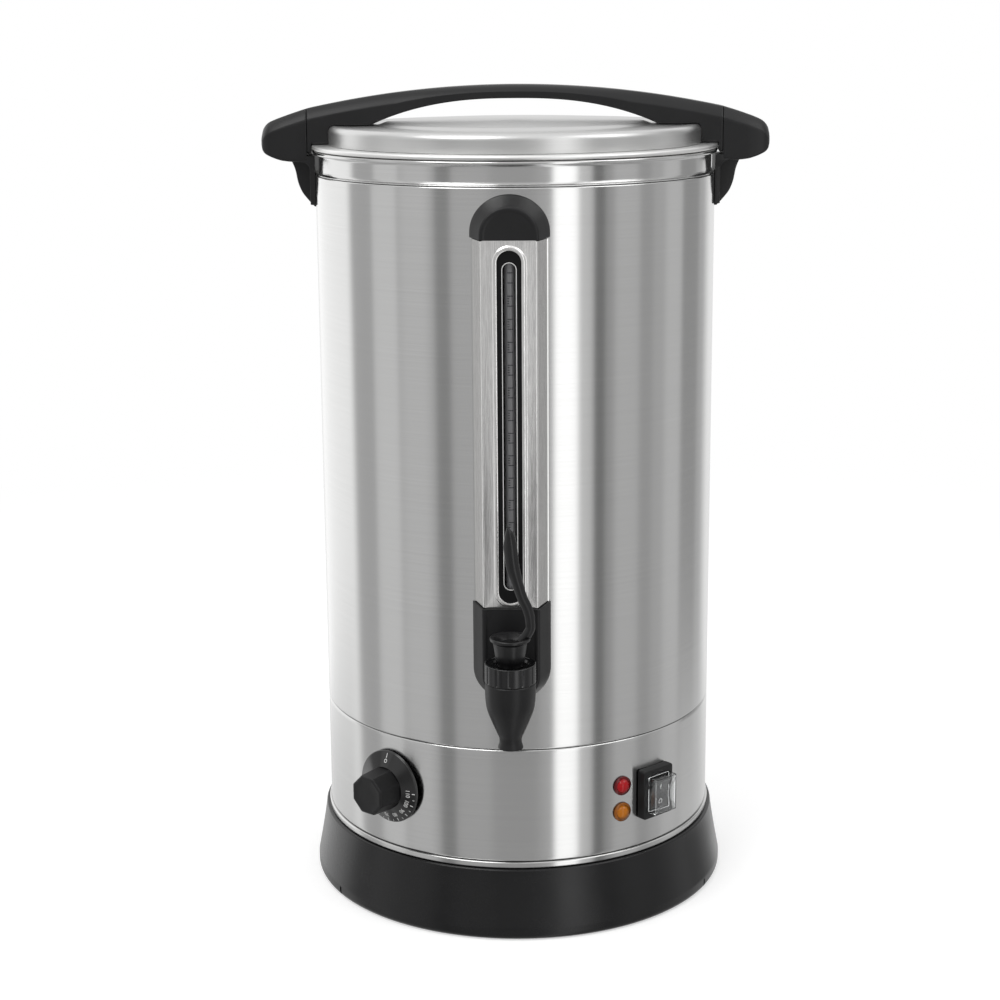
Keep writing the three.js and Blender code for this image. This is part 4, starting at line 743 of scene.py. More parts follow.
NODE_FINISHES = {
    "body_steel": SHELL_STEEL, "bright_steel": BRIGHT_STEEL, "tank_steel": TANK_STEEL, "black_plastic": BLACK,
    "knob_plastic": KNOB_BLACK, "tap_plastic": TAP_BLACK, "scale_strip": STRIP_BLACK, "clear_tube": GLASS,
    "silicone": SILICONE, "aluminium": ALUMINIUM, "brass": BRASS, "red_lens": RED, "amber_lens": AMBER,
    "clear_cover": COVER_CLEAR, "nylon": NYLON, "insulation": SLEEVE,
}


# Pieces

@dataclass
class Piece:
    """A visible piece: its skins, its finishes, what carries it and what it stands for.

    Args:
        name: its name.
        body: the body that it moves with.
        slot: the record's slot of its finish; not used.
        lumps: its skins.
        finishes: its finishes, by the lumps' numbers.
        stands_for: the nodes that it replaces.
        sharp: edges turning by more than this many degrees stay crisp.
        holes: solids that are cut from it.
    """

    name: str
    body: str
    slot: str
    lumps: Sequence[Lump]
    finishes: Sequence[Finish]
    stands_for: Sequence[str]
    sharp: float = 34.0
    holes: Sequence[Lump] = ()

    def make(self) -> bpy.types.Object:
        """Builds the object, cuts its holes, dresses it and places it in the frame."""
        made = mesh_object(self.name, self.lumps, self.sharp)
        for finish in self.finishes:
            made.data.materials.append(finish.material())
        if self.holes:
            drill(made, self.holes, self.sharp)
        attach(made, self.body)
        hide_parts(*self.stands_for)
        LOG.info("%s: %d faces", self.name, len(made.data.polygons))
        return made


def mesh_object(name: str, lumps: Sequence[Lump], sharp: float) -> bpy.types.Object:
    """Joins lumps into one mesh object, in metres.

    Args:
        name: the object's name.
        lumps: its skins.
        sharp: edges turning by more than this stay crisp.

    Returns:
        The linked object.
    """
    starts = np.cumsum([0] + [len(lump.points) for lump in lumps])
    quads = np.concatenate([lump.quads + start for lump, start in zip(lumps, starts)])
    tris = np.concatenate([lump.tris + start for lump, start in zip(lumps, starts)])
    numbers = np.concatenate([np.full(len(lump.quads), lump.finish) for lump in lumps]
                             + [np.full(len(lump.tris), lump.finish) for lump in lumps])
    mesh = bpy.data.meshes.new(name)
    mesh.vertices.add(int(starts[-1]))
    mesh.vertices.foreach_set("co", (np.concatenate([lump.points for lump in lumps]) * MM).ravel())
    mesh.loops.add(quads.size + tris.size)
    mesh.loops.foreach_set("vertex_index", np.concatenate([quads.ravel(), tris.ravel()]).astype(np.int32))
    mesh.polygons.add(len(quads) + len(tris))
    begin = np.concatenate([np.arange(len(quads)) * 4, quads.size + np.arange(len(tris)) * 3])
    mesh.polygons.foreach_set("loop_start", begin.astype(np.int32))
    mesh.polygons.foreach_set("material_index", numbers.astype(np.int32))
    mesh.update(calc_edges=True)
    mesh.validate()
    finish_edges(mesh, sharp)
    made = bpy.data.objects.new(name, mesh)
    bpy.context.scene.collection.objects.link(made)
    return made


def finish_edges(mesh: bpy.types.Mesh, sharp: float) -> None:
    """Smooth shading, with the edges that turn by more than a number of degrees kept crisp."""
    mesh.polygons.foreach_set("use_smooth", np.ones(len(mesh.polygons), bool))
    mesh.set_sharp_from_angle(angle=math.radians(sharp))
    mesh.update()


def drill(target: bpy.types.Object, holes: Sequence[Lump], sharp: float) -> None:
    """Cuts solids out of a piece.

    Args:
        target: the piece.
        holes: what is cut.
        sharp: edges turning by more than this stay crisp.
    """
    tool = mesh_object("drill", holes, sharp)
    cut = target.modifiers.new("holes", "BOOLEAN")
    cut.operation, cut.solver, cut.object = "DIFFERENCE", "EXACT", tool
    bpy.context.view_layer.update()
    mesh = bpy.data.meshes.new_from_object(target.evaluated_get(bpy.context.evaluated_depsgraph_get()))
    target.modifiers.clear()
    target.data = mesh
    bpy.data.objects.remove(tool)
    finish_edges(mesh, sharp)


def rod(radius: float, low: float, high: float, sides: int = 64, edge: float = 0.0, finish: int = 0) -> Lump:
    """A round bar along Z with rounded rims.

    Args:
        radius: its radius.
        low: its lower end.
        high: its upper end.
        sides: steps round it.
        edge: radius of its rims.
        finish: which finish it takes.

    Returns:
        The lump.
    """
    line = rounded([[0, low], [radius, low], [radius, high], [0, high]], [0, edge, edge, 0], 4, False)
    return domed(line, sides, finish)


def tube(inner: float, outer: float, low: float, high: float, edge: float = 0.3, sides: int = 96) -> Lump:
    """A round tube along Z with rounded rims."""
    corners = [[inner, low], [outer, low], [outer, high], [inner, high]]
    return turned(held(rounded(corners, edge, 4)), sides)


@dataclass
class Shells:
    """The steel shells and the black base, from the foot to the rim of the tank.

    Args:
        radius: radius of the outer body.
        sheet: thickness of the sheet.
        flange: radius that the hidden flanges reach in to.
        lip: radius of the rolled lips at the joints.
        band_margin: how far the band's even rows keep from its ends.
        hole_depth: how far the holes reach to both sides of the band's wall.
        collar_step: how far the collar's foot stands in from the body.
        tank_lip: radius of the tank's inner lip.
        flare_power: how the skirt's slope grows towards its foot.
        foot: radius, height and round of the skirt's foot.
        notch_offsets: degrees at which a notch's sides get their points.
        notch_half: half its width in degrees.
    """

    radius: float = 150.0
    sheet: float = 1.0
    flange: float = 143.6
    lip: float = 1.2
    body_low: float = 144.2
    body_high: float = 549.7
    band_low: float = 57.5
    band_high: float = 143.9
    band_margin: float = 3.0
    band_rows: int = 44
    band_sides: int = 512
    hole_depth: float = 8.0
    shaft_hole: float = 4.6
    lamp_hole: float = 5.6
    switch_hole: Pair = (26.4, 34.4)
    trim_low: float = 52.6
    trim_high: float = 57.2
    trim_proud: float = 1.4
    trim_round: float = 0.9
    collar_inset: float = 2.6
    collar_step: float = 0.4
    collar_low: float = 550.0
    collar_top: float = 567.5
    collar_bead: Triple = (150.3, 566.0, 1.5)
    rim_bead: Triple = (150.6, 569.55, 1.65)
    rim_top: float = 571.2
    tank_radius: float = 139.0
    tank_wall: float = 0.9
    tank_floor: float = 152.0
    tank_corner: float = 7.5
    tank_lip: float = 1.2
    skirt_radius: float = 154.0
    skirt_flare: float = 7.2
    skirt_round: float = 1.2
    skirt_wall: float = 3.0
    flare_top: float = 51.1
    flare_drop: float = 42.1
    flare_power: float = 1.15
    ledge_radius: float = 145.0
    ledge_low: float = 49.3
    ledge_top: float = 52.3
    foot: Triple = (156.6, 4.6, 4.6)
    foot_wall: float = 2.2
    notch_azimuths: tuple[float, ...] = (-57.2, 65.0)
    notch_offsets: tuple[float, ...] = (-0.75, -0.42, -0.40, 0.40, 0.42, 0.75)
    notch_half: float = 0.41
    notch_height: float = 8.0
    notch_depth: float = 2.0

    @staticmethod
    def steel(node: str, lump: Lump, holes: Sequence[Lump] = ()) -> Piece:
        """A shell of body steel, which stands for one node."""
        return Piece(node + "_skin", "urn", "body_steel", [lump], [SHELL_STEEL], [node], holes=holes)

    def drum(self, low: float, high: float) -> Array:
        """Profile of a drum of sheet with rolled lips and flanges turned in."""
        inside = self.radius - self.sheet
        corners = [[self.flange, low], [self.radius, low], [self.radius, high], [self.flange, high],
                   [self.flange, high - self.sheet], [inside, high - self.sheet],
                   [inside, low + self.sheet], [self.flange, low + self.sheet]]
        return rounded(corners, [0, self.lip, self.lip, 0, 0, self.lip / 2, self.lip / 2, 0], 6)

    def body(self) -> Piece:
        """The tall outer body."""
        return self.steel("outer_body", turned(held(self.drum(self.body_low, self.body_high), 0.6)))

    def band(self) -> Piece:
        """The band of controls: its rows lie close together, so that the cut holes stay clean."""
        line = self.drum(self.band_low, self.band_high)
        margin = self.band_margin
        rows = np.linspace(self.band_low + margin, self.band_high - margin, self.band_rows)
        wall = np.stack([np.full(self.band_rows, self.radius), rows], 1)
        outer = np.flatnonzero(line[:, 0] > self.radius - 0.01)
        cut = outer[0] + int(np.argmax(np.diff(line[outer, 1]) > 1)) + 1
        line = np.concatenate([line[:cut], wall, line[cut:]])
        ends = (-self.hole_depth, self.hole_depth)
        holes = [rod(self.shaft_hole, *ends).moved(KNOB_SPOT.frame()),
                 boxed(*self.switch_hole, *ends, 1.0).moved(SWITCH_SPOT.frame())]
        holes += [rod(self.lamp_hole, *ends).moved(spot.frame()) for spot in (RED_SPOT, AMBER_SPOT)]
        return self.steel("control_band", turned(line, self.band_sides), holes)

    def trim(self) -> Piece:
        """The bright trim ring under the band."""
        radius = self.radius + self.trim_proud
        corners = [[self.flange, self.trim_low], [radius, self.trim_low], [radius, self.trim_high],
                   [self.flange, self.trim_high]]
        line = rounded(corners, [0, self.trim_round, self.trim_round, 0], 6)
        return self.steel("base_trim_ring", turned(held(line, 0.4)))

    def collar(self) -> Piece:
        """The inset collar and its rolled bead."""
        wall, foot = self.radius - self.collar_inset, self.radius - self.collar_step
        inside, low = wall - self.sheet, self.collar_low
        x, z, r = self.collar_bead
        start = [[self.flange, low], [foot, low], [foot, low + 0.6], [wall + 0.5, low + 1.4],
                 [wall, low + 3.0], [wall, z - 2.6], [wall + 0.7, z - 1.3]]
        line = rounded(start, [0, 0.3, 0.6, 1.0, 2.0, 2.0, 0], 5, False)
        bead = arc((x, z), r, 215, 450, 20)
        end = [[inside, self.collar_top], [inside, low + self.sheet], [self.flange, low + self.sheet]]
        return self.steel("upper_collar", turned(held(np.concatenate([line, bead, end]), 0.4)))

    def tank(self) -> Piece:
        """The tank, from its floor to its rolled rim."""
        x, z, r = self.rim_bead
        wall, lip, floor = self.tank_radius, self.tank_lip, self.tank_floor
        inner, flat = wall - self.tank_wall, wall - self.tank_corner
        centre = (flat, floor + self.tank_corner)
        under = self.rim_top - self.sheet
        profile = np.concatenate([
            [[HUB, floor], [flat, floor]], arc(centre, self.tank_corner, -84, 0, 8),
            [[wall, under], [x - r, under]], arc((x, z), r, 160 - 360, 90, 22),
            [[inner + lip, self.rim_top]], arc((inner + lip, self.rim_top - lip), lip, 90, 180, 5),
            arc(centre, self.tank_corner - self.tank_wall, 0, -84, 8),
            [[flat, floor + self.tank_wall], [HUB, floor + self.tank_wall]]])
        return Piece("inner_tank_skin", "urn", "tank_steel", [domed(held(profile, 0.6, False))], [TANK_STEEL],
                     ["inner_tank"])

    def skirt_line(self) -> Array:
        """The skirt's profile: a rounded top, the flare top - drop * share, a rounded foot and the inside."""
        share = np.linspace(0, 1, 26)
        flare = np.stack([self.skirt_radius + self.skirt_flare * share ** self.flare_power,
                          self.flare_top - self.flare_drop * share], 1)
        top = arc((self.skirt_radius - self.skirt_round, self.flare_top), self.skirt_round, 90, 10, 5)
        x, z, r = self.foot
        foot = arc((x, z), r, -8, -88, 8)
        end = flare[-1] + (foot[0] - flare[-1]) * np.linspace(0, 1, 7)[1:-1, None] ** [1.6, 1]
        inner = [[x - self.foot_wall, 0], [x - self.foot_wall, 3],
                 [self.skirt_radius - self.skirt_wall, self.ledge_low],
                 [self.ledge_radius, self.ledge_low], [self.ledge_radius, self.ledge_top]]
        return held(np.concatenate([top, flare, end, foot, inner]), 0.6)

    def skirt(self) -> Piece:
        """The flared black base, its foot notched in two places."""
        line = self.skirt_line()
        near = np.add.outer(self.notch_azimuths, self.notch_offsets).ravel()
        angles = np.unique(np.concatenate([np.linspace(-180, 180, SIDES, endpoint=False), near]))
        inside = np.abs(np.subtract.outer(self.notch_azimuths, angles)).min(0) < self.notch_half
        low = (line[:, 1] < self.notch_height) & (line[:, 0] > self.foot[0] - 1)
        carve = self.notch_depth * low[:, None] * inside[None]
        return Piece("base_skirt_skin", "urn", "black_plastic", [turned(line, angles=angles, carve=carve)],
                     [BASE_BLACK], ["base_skirt"])

    def pieces(self) -> list[Piece]:
        """Every shell."""
        return [self.body(), self.band(), self.trim(), self.collar(), self.tank(), self.skirt()]


def boxed(width: float, tall: float, low: float, high: float, radius: float, edge: float = 0.0,
          finish: int = 0) -> Lump:
    """A block along Z with rounded upright edges and a rounded rim at its upper end.

    Args:
        width: its size along X.
        tall: its size along Y.
        low: its lower place along Z.
        high: its upper place along Z.
        radius: radius of its four long edges.
        edge: radius of its upper rim.
        finish: which finish it takes.

    Returns:
        The lump.
    """
    steps = np.linspace(0, math.pi / 2, 6) if edge > 0 else np.zeros(1)
    rows = [(0.0, low)] + [(edge * (1 - math.cos(t)), high - edge * (1 - math.sin(t))) for t in steps]
    return stacked([lying(frame_loop(width / 2 - inset, -tall / 2 + inset, tall / 2 - inset,
                                     max(radius - inset, 0.2), 5, 6), z) for inset, z in rows], finish)


@dataclass
class Lid:
    """The lid, its gasket and the arched handle over it.

    Args:
        radius: the lid's radius.
        low: height of its lower edge.
        shoulder: radius, height and round of its shoulder.
        line: its upper line from the shoulder to the middle.
        line_rounds: the rounds of that line's corners.
        gasket_line: the gasket's corners.
        arch_top: height of the handle's middle.
        arch_rise: how much lower its upper line is at arch_reach.
        opening: half the opening under the handle.
        under_power: how the handle's lower line bends.
        bend_start: where its section begins to follow a cylinder about the urn's axis.
        ledge: where its lower line lies on the lid.
        tail: its lower line from the lid's edge to the parting line.
        parting: how far its last two sections are drawn in.
    """

    radius: float = 139.7
    low: float = 571.5
    shoulder: Triple = (135.1, 580.6, 4.6)
    line: Pairs = (
        (124, 584.6), (103, 584.9), (97, 587.2), (48.5, 588.1), (HUB, 588.4))
    line_rounds: tuple[float, ...] = (0, 30, 9, 9, 200, 0)
    gasket_line: Pairs = (
        (132.6, 562.0), (136.6, 562.0), (137.6, 563.0), (137.6, 571.2), (137.97, 572.0), (137.97, 577.2),
        (132.6, 577.2))
    gasket_rounds: tuple[float, ...] = (0.6, 0.5, 0.5, 0.2, 0.2, 0.6, 0.6)
    seam: float = 155.6
    arch_top: float = 614.4
    arch_rise: float = 16.8
    arch_reach: float = 155.9
    opening: float = 106.0
    under_top: float = 604.5
    under_floor: float = 586.0
    under_power: float = 2.5
    half_middle: float = 14.5
    half_end: float = 17.0
    bend_start: float = 96.0
    bend_length: float = 30.0
    lid_air: float = 0.3
    ledge: tuple[float, ...] = (108, 112, 118, 124, 129, 133, 136, 138, 139.2, 139.7)
    tail: Pairs = (
        (140.0, 579.5), (140.05, 571.6), (146, 571.5), (152.8, 571.5), (152.85, 565.0), (154.2, 565.0),
        (155.1, 565.0), (155.45, 565.15), (155.6, 565.5))
    parting: Pair = (0.15, 0.5)

    def outer_line(self) -> Array:
        """The lid's upper line from its lower edge to its middle."""
        x, z, r = self.shoulder
        start = arc((x, z), r, 0, 86, 8)[-1]
        crest = rounded([start, *self.line], self.line_rounds, 6, False)
        return np.concatenate([[[self.radius, self.low]], arc((x, z), r, 0, 80, 8), crest[1:]])

    def shell(self) -> Piece:
        """The lid's sheet: the outer line and the same line drawn in by the sheet's thickness."""
        outer = held(self.outer_line(), 0.5, False)
        step = np.gradient(outer, axis=0)
        normal = np.stack([step[:, 1], -step[:, 0]], 1) / np.linalg.norm(step, axis=1)[:, None]
        inner = outer - normal
        inner[:, 0] = np.maximum(inner[:, 0], HUB)
        profile = np.concatenate([outer[::-1], inner])
        return Piece("lid_sheet", "lid", "body_steel", [domed(profile)], [LID_STEEL], ["lid_shell"])

    def gasket(self) -> Piece:
        """The moulded gasket under the lid."""
        line = held(rounded(self.gasket_line, self.gasket_rounds, 4), 0.5)
        return Piece("lid_gasket_ring", "lid_seal", "silicone", [turned(line)], [SILICONE], ["lid_gasket"])

    def arch(self, reach: Array) -> Array:
        """Height of the handle's upper line: top - rise (reach / whole reach) squared."""
        return self.arch_top - self.arch_rise * (reach / self.arch_reach) ** 2

    def under_line(self) -> Array:
        """The lower line as (reach, height): a power curve over the opening, the lid, then the tail."""
        middle = np.linspace(0, self.opening, 42)
        drop = (self.under_top - self.under_floor) * (middle / self.opening) ** self.under_power
        line = self.outer_line()[::-1]
        on_lid = np.interp(self.ledge, line[:, 0], line[:, 1]) + self.lid_air
        over_opening = np.stack([middle, self.under_top - drop], 1)
        return np.concatenate([over_opening, np.stack([self.ledge, on_lid], 1), self.tail])

    def handle(self) -> Piece:
        """The arched bar: cross-sections carried from one parting line to the other, alike on both sides."""
        reach, low = self.under_line().T
        inset = np.zeros(len(reach))
        inset[-2:] = self.parting
        reach, low, inset = (np.concatenate([sign * part[:0:-1], part])
                             for part, sign in ((reach, -1), (low, 1), (inset, 1)))
        half = self.half_middle + (self.half_end - self.half_middle) * (reach / self.seam) ** 2 - inset
        bend = np.clip((np.abs(reach) - self.bend_start) / self.bend_length, 0, 1)
        rings = bar_rings(reach, low, self.arch(np.abs(reach)) - inset, half, bend)
        return Piece("lid_handle_bar", "lid", "black_plastic", [skin(rings)], [BLACK], ["lid_handle"])

    def pieces(self) -> list[Piece]:
        """The lid's pieces."""
        return [self.shell(), self.gasket(), self.handle()]


def bar_rings(reach: Array, low: Array, high: Array, half: Array, bend: Array) -> Array:
    """Cross-sections of the handles' bar.

    Each is flat below with rounded edges, upright at its sides, and has a crowned chamfer up to its flat top.
    Where bend is 1 the section lies on a cylinder about the urn's axis: x = sqrt(reach^2 - y^2).

    Args:
        reach: where each section stands along X.
        low: its lower height.
        high: its upper height.
        half: its half width.
        bend: how far it lies on the cylinder.

    Returns:
        Sections x points x 3.
    """
    drop = np.minimum(8.0, (high - low) / 2)[:, None]
    deep = np.minimum(7.0, half / 2)[:, None]
    edge = np.minimum(1.5, (high - low) / 5)[:, None]
    low, high, half = low[:, None], high[:, None], half[:, None]
    t = np.radians(np.linspace(-90, 0, 6))
    share = np.linspace(0, 1, 13)
    side_y = half - edge * (1 - np.cos(t))
    side_z = low + edge * (1 + np.sin(t))
    crown = 0.75 * 4 * share * (1 - share)
    slope_y = half - deep * share + crown * drop / np.hypot(drop, deep)
    slope_z = high - drop * (1 - share) + crown * deep / np.hypot(drop, deep)
    wall_z = side_z[:, -1:] + (slope_z[:, :1] - side_z[:, -1:]) * np.array([0.08, 0.92])
    top_y = (half - deep) * np.array([0.86, 0.5, 0])
    right_y = np.concatenate([np.zeros_like(half), side_y, half + 0 * wall_z, slope_y, top_y], 1)
    right_z = np.concatenate([low, side_z, wall_z, slope_z, high + 0 * top_y], 1)
    y = np.concatenate([right_y, -right_y[:, -2:0:-1]], 1)
    z = np.concatenate([right_z, right_z[:, -2:0:-1]], 1)
    flat = reach[:, None] + 0 * y
    bent = np.sign(flat) * np.sqrt(np.maximum(flat ** 2 - y ** 2 * bend[:, None], 0))
    return np.stack([np.where(bend[:, None] > 0, bent, flat), y, z], -1)


@dataclass
class SideHandle:
    """A side handle: the block, its leg on the shell and the fin.

    Args:
        name: its node's name.
        side: 1 on the right, -1 on the left.
        lug: whether the outline of a lug is moulded on its front.
        seam: radius of the parting line towards the lid's handle.
        nose: how far out its nose reaches.
        leg_slack: how much narrower the leg is than the block, on each side.
        lug_box: near, far, low and high side of the lug's outline.
        shares: along the block, its upper and lower height and its width, each as a share.
        fin_shares: the fin's reach and its height, each as a share.
    """

    name: str
    side: float
    lug: bool = False
    seam: float = 155.9
    nose: float = 190.0
    low: float = 558.4
    half: float = 17.0
    shell: float = 150.3
    leg_outer: float = 153.3
    leg_bottom: float = 526.5
    leg_round: float = 6.0
    leg_slack: float = 0.04
    top: float = 564.7
    fin_half: float = 4.0
    fin_reach: float = 170.0
    fin_tip: float = 524.2
    lug_box: Four = (156.6, 160.8, 573.2, 579.2)
    shares: tuple[Four, ...] = (
        (0, 1, 0, 1), (0.25, 0.931, 0.003, 1), (0.5, 0.857, 0.023, 1), (0.7, 0.793, 0.071, 0.97),
        (0.82, 0.745, 0.115, 0.93), (0.91, 0.679, 0.158, 0.86), (0.97, 0.597, 0.219, 0.75),
        (1, 0.5, 0.309, 0.6))
    fin_shares: Pairs = (
        (0, 0), (0.1, 0.05), (0.32, 0.17), (0.52, 0.3), (0.68, 0.5), (0.78, 0.74), (1, 1))

    def block(self) -> Lump:
        """The block from the parting line to the nose, its sizes eased through the table of shares."""
        table = np.array(self.shares)
        along = np.concatenate([[0, 0.004, 0.015], np.linspace(0.04, 0.96, 34), [0.975, 0.988, 0.996, 1.0]])
        upper, lower, wide = eased(table[:, 0], table[:, 1:], along).T
        inset = np.zeros(len(along))
        inset[:2] = 0.5, 0.15
        height = Lid().arch(np.array([self.seam]))[0] - self.low
        reach = self.seam + (self.nose - self.seam) * along
        rings = bar_rings(reach, self.low + height * lower + inset, self.low + height * upper - inset,
                          self.half * wide - inset, np.clip(1 - along / 0.4, 0, 1))
        tip = rings[-1:].copy()
        centre = tip.mean(1, keepdims=True)
        ends = [centre + (tip - centre) * size + [grow, 0, 0] for size, grow in ((0.9, -0.12), (0.7, 0.0))]
        rings[-1] = rings[-1] - [0.5, 0, 0]
        return skin(np.concatenate([rings, *ends]))

    def leg(self) -> Lump:
        """The leg: flat outside, round against the shell, with a hollow round up to the block."""
        r, outer, bottom = self.leg_round, self.leg_outer, self.leg_bottom
        line = np.concatenate([[[outer - 0.4, bottom], [outer, bottom + 0.4], [outer, bottom + 8]],
                               arc((outer + r, self.low - r), r, 180, 90, 12), [[outer + r, self.top - 2]]])
        across = (self.half - self.leg_slack) * np.array([-1, -0.985, -0.95, -0.5, 0, 0.5, 0.95, 0.985, 1])
        out = line[:, :1] - np.array([0.5, 0.12, 0, 0, 0, 0, 0, 0.12, 0.5])
        behind, y, z = (np.broadcast_to(part, out.shape)
                        for part in (np.sqrt(self.shell ** 2 - across ** 2), across, line[:, 1:]))
        face, back = np.stack([out, y, z], -1), np.stack([behind, y, z], -1)
        return skin(np.concatenate([face, back[:, ::-1]], 1))

    def fin(self) -> Lump:
        """The fin behind the leg: its outer edge eased through its table, rounded across."""
        table = np.array(self.fin_shares)
        up = np.linspace(0, 1, 26)
        root = self.leg_outer - 1.2
        x = root + (self.fin_reach - root) * eased(table[:, 1], table[:, :1], up)[:, 0]
        z = self.fin_tip + (self.low + 3.0 - self.fin_tip) * up
        across = self.fin_half * np.array([-1, -1, -0.93, -0.7, 0, 0.7, 0.93, 1, 1])
        out = x[:, None] - np.array([0, 1.6, 0.5, 0.12, 0, 0.12, 0.5, 1.6, 0])
        out[:, 0] = out[:, -1] = self.shell
        out = np.maximum(out, self.shell)
        return skin(np.stack([out, np.broadcast_to(across, out.shape), np.repeat(z[:, None], 9, 1)], -1))

    def lug_outline(self) -> Lump:
        """A thin raised outline on the block's front side."""
        near, far, low, high = self.lug_box
        middle, half = (near + far) / 2, (far - near) / 2
        return stacked([facing(frame_loop(half + grow, low - grow, high + grow, 0.5, 4, 4) + [middle, 0],
                               self.half + proud)
                        for grow, proud in ((-0.35, -0.1), (-0.35, 0.12), (0.0, 0.12), (0.0, -0.1))], 0, True)

    def piece(self) -> Piece:
        """The whole side handle."""
        lumps = [self.block(), self.fin(), self.leg()]
        if self.lug:
            lumps.append(self.lug_outline())
        flip = np.diag([self.side, 1.0, 1.0, 1.0])
        lumps = [lump.moved(flip).outward() for lump in lumps]
        return Piece(self.name + "_grip", "urn", "black_plastic", lumps, [BLACK], [self.name])


@dataclass
class Gauge:
    """The level gauge: cover, strip, glass, the cap over it and the housing under it.

    Args:
        front: how far forward the cover's face stands.
        back: where the slopes of the cover, the cap and the housing would end.
        half_front: half the face's width.
        half_back: half the cover's width on the shell.
        edge_round: radius of the face's long edges.
        edge_start: how far in from the face's edge that round begins.
        end_inset: how far the slopes are drawn in at the cover's ends.
        slope_ends: how far forward the slopes' first and last rows stand.
        bead: radius of the bright line along each edge of the face.
        hem: width and place forward of the bright hems along the shell.
        hem_turn: degrees by which the bright hems turn to the sides.
        slot_rows: how far out and how proud each row of the slot's raised edge lies.
        window: half width, lower and upper end of the strip's window.
        tick_start: azimuth on the tube where the marks begin.
        tick_long: azimuth where a long mark ends.
        tick_short: azimuth where a short mark ends.
        shroud_rows: half width and depth of the rows of a shroud's dished face.
        shroud_edge: radius of its rounded edge.
        shroud_sides: depths of the rows down its sides.
        shroud_end: how far forward its last row stands.
        cap: the cap's front, the centre and share of its round end, and its straight end.
        housing: the same for the housing.
    """

    front: float = 168.0
    back: float = 148.2
    half_front: float = 19.3
    half_back: float = 26.5
    low: float = 256.6
    high: float = 515.5
    edge_round: float = 1.6
    edge_start: float = 1.1
    end_inset: float = 0.35
    slope_ends: Pair = (165.5, 149.0)
    bead: float = 0.35
    hem: Pair = (1.1, 150.3)
    hem_turn: float = 15.0
    slot_half: float = 8.4
    slot_low: float = 260.5
    slot_high: float = 508.8
    slot_rows: Pairs = (
        (0.0, -1.3), (0.0, 0.5), (0.12, 0.8), (0.4, 0.98), (1.0, 1.05), (1.9, 1.0), (2.5, 0.8), (2.95, 0.4),
        (3.3, 0.12), (3.75, 0.0))
    shell: float = 150.15
    strip_front: float = 166.7
    strip_thick: float = 1.5
    strip_size: Four = (11.5, 258.6, 511.0, 2.4)
    window: Triple = (4.6, 270.0, 500.0)
    tube_place: float = 159.5
    tube_size: Four = (2.6, 4.0, 228.6, 525.0)
    tick_count: int = 14
    tick_top: float = 493.1
    tick_step: float = 15.93
    tick_pair: float = 6.9
    tick_half: float = 0.34
    tick_radii: Pair = (3.98, 4.06)
    tick_start: float = -20.5
    tick_long: float = 33.4
    tick_short: float = -1.4
    shroud_rows: Pairs = (
        (0.15, 0.35), (10.0, 0.35), (16.2, 0.35), (17.0, 0.28), (17.5, 0.05), (18.0, 0.0), (18.6, 0.0))
    shroud_half: float = 20.3
    shroud_mouth: float = 16.2
    shroud_flare: float = 7.7
    shroud_edge: float = 2.0
    shroud_sides: tuple[float, ...] = (4.0, 9.0, 15.0)
    shroud_end: float = 149.2
    cap: Four = (169.6, 519.0, 0.95, 515.8)
    housing: Four = (170.5, 207.0, 0.9, 256.3)

    def onto_shell(self, loop: Array) -> Array:
        """The loop laid on the shell: forward by sqrt(radius^2 - x^2)."""
        loop = loop.copy()
        loop[:, 1] = -np.sqrt(self.shell ** 2 - loop[:, 0] ** 2)
        return loop

    def slot_edge(self) -> list[Array]:
        """Loops over the slot's raised edge."""
        return [facing(frame_loop(self.slot_half + grow, self.slot_low - grow, self.slot_high + grow,
                                  self.slot_half + grow, 16, 24), self.front + proud)
                for grow, proud in self.slot_rows]

    def slopes(self) -> list[Array]:
        """Loops round the face's edge, an arc up to the slope's angle, and down the slopes."""
        slope = (self.half_back - self.half_front) / (self.front - self.back)
        turn = math.atan2(1.0, slope)
        start, r = self.half_front - self.edge_start, self.edge_round
        rows = [(start + r * math.sin(turn * t), self.front - r * (1 - math.cos(turn * t)),
                 self.end_inset * t) for t in np.linspace(0, 1, 7)]
        rows += [(self.half_front + slope * (self.front - y), y, self.end_inset)
                 for y in np.linspace(*self.slope_ends, 6)]
        return [self.side_loop(*row) for row in rows]

    def cover(self) -> Piece:
        """The cover: loops from the slot over its raised edge to the face, the slopes and the shell."""
        edge = self.onto_shell(self.side_loop(self.half_back + 0.15, self.shell, self.end_inset))
        inner = self.onto_shell(edge * [0.96, 1, 1])
        deep = self.side_loop(self.half_front - 1.2, self.front - 1.3, 1.0)
        lumps = [stacked([*self.slot_edge(), *self.slopes(), edge, inner, deep], 0, True)]
        for side in (-1, 1):
            bead = rod(self.bead, self.low + 0.5, self.high - 0.5, 24, 0.1, 1)
            lumps.append(bead.moved(upright_frame(side * (self.half_front - 0.3), 0.25 - self.front, 0)))
            hem = shell_frame(side * self.hem_turn, (self.low + self.high) / 2, 0.0)
            hem[:2, 3] = (side * (self.half_back - 0.5), -self.hem[1])
            lumps.append(boxed(self.hem[0], self.high - self.low - 0.8, -0.6, 0.3, 0.1, 0.1, 1).moved(hem))
        return Piece("gauge_cover_sheet", "urn", "body_steel", lumps, [COVER_STEEL, BRIGHT_STEEL],
                     ["gauge_cover"], 28.0)

    def side_loop(self, half: float, forward: float, inset: float) -> Array:
        """The cover's outline at one depth, drawn in at its two ends."""
        return facing(frame_loop(half, self.low + inset, self.high - inset, 0.5, 16, 24), forward)

    def window_loop(self, grow: float, forward: float) -> Array:
        """The window's outline, grown all round."""
        half, low, high = self.window
        return facing(frame_loop(half + grow, low - grow, high + grow, half + grow, 14, 20), forward)

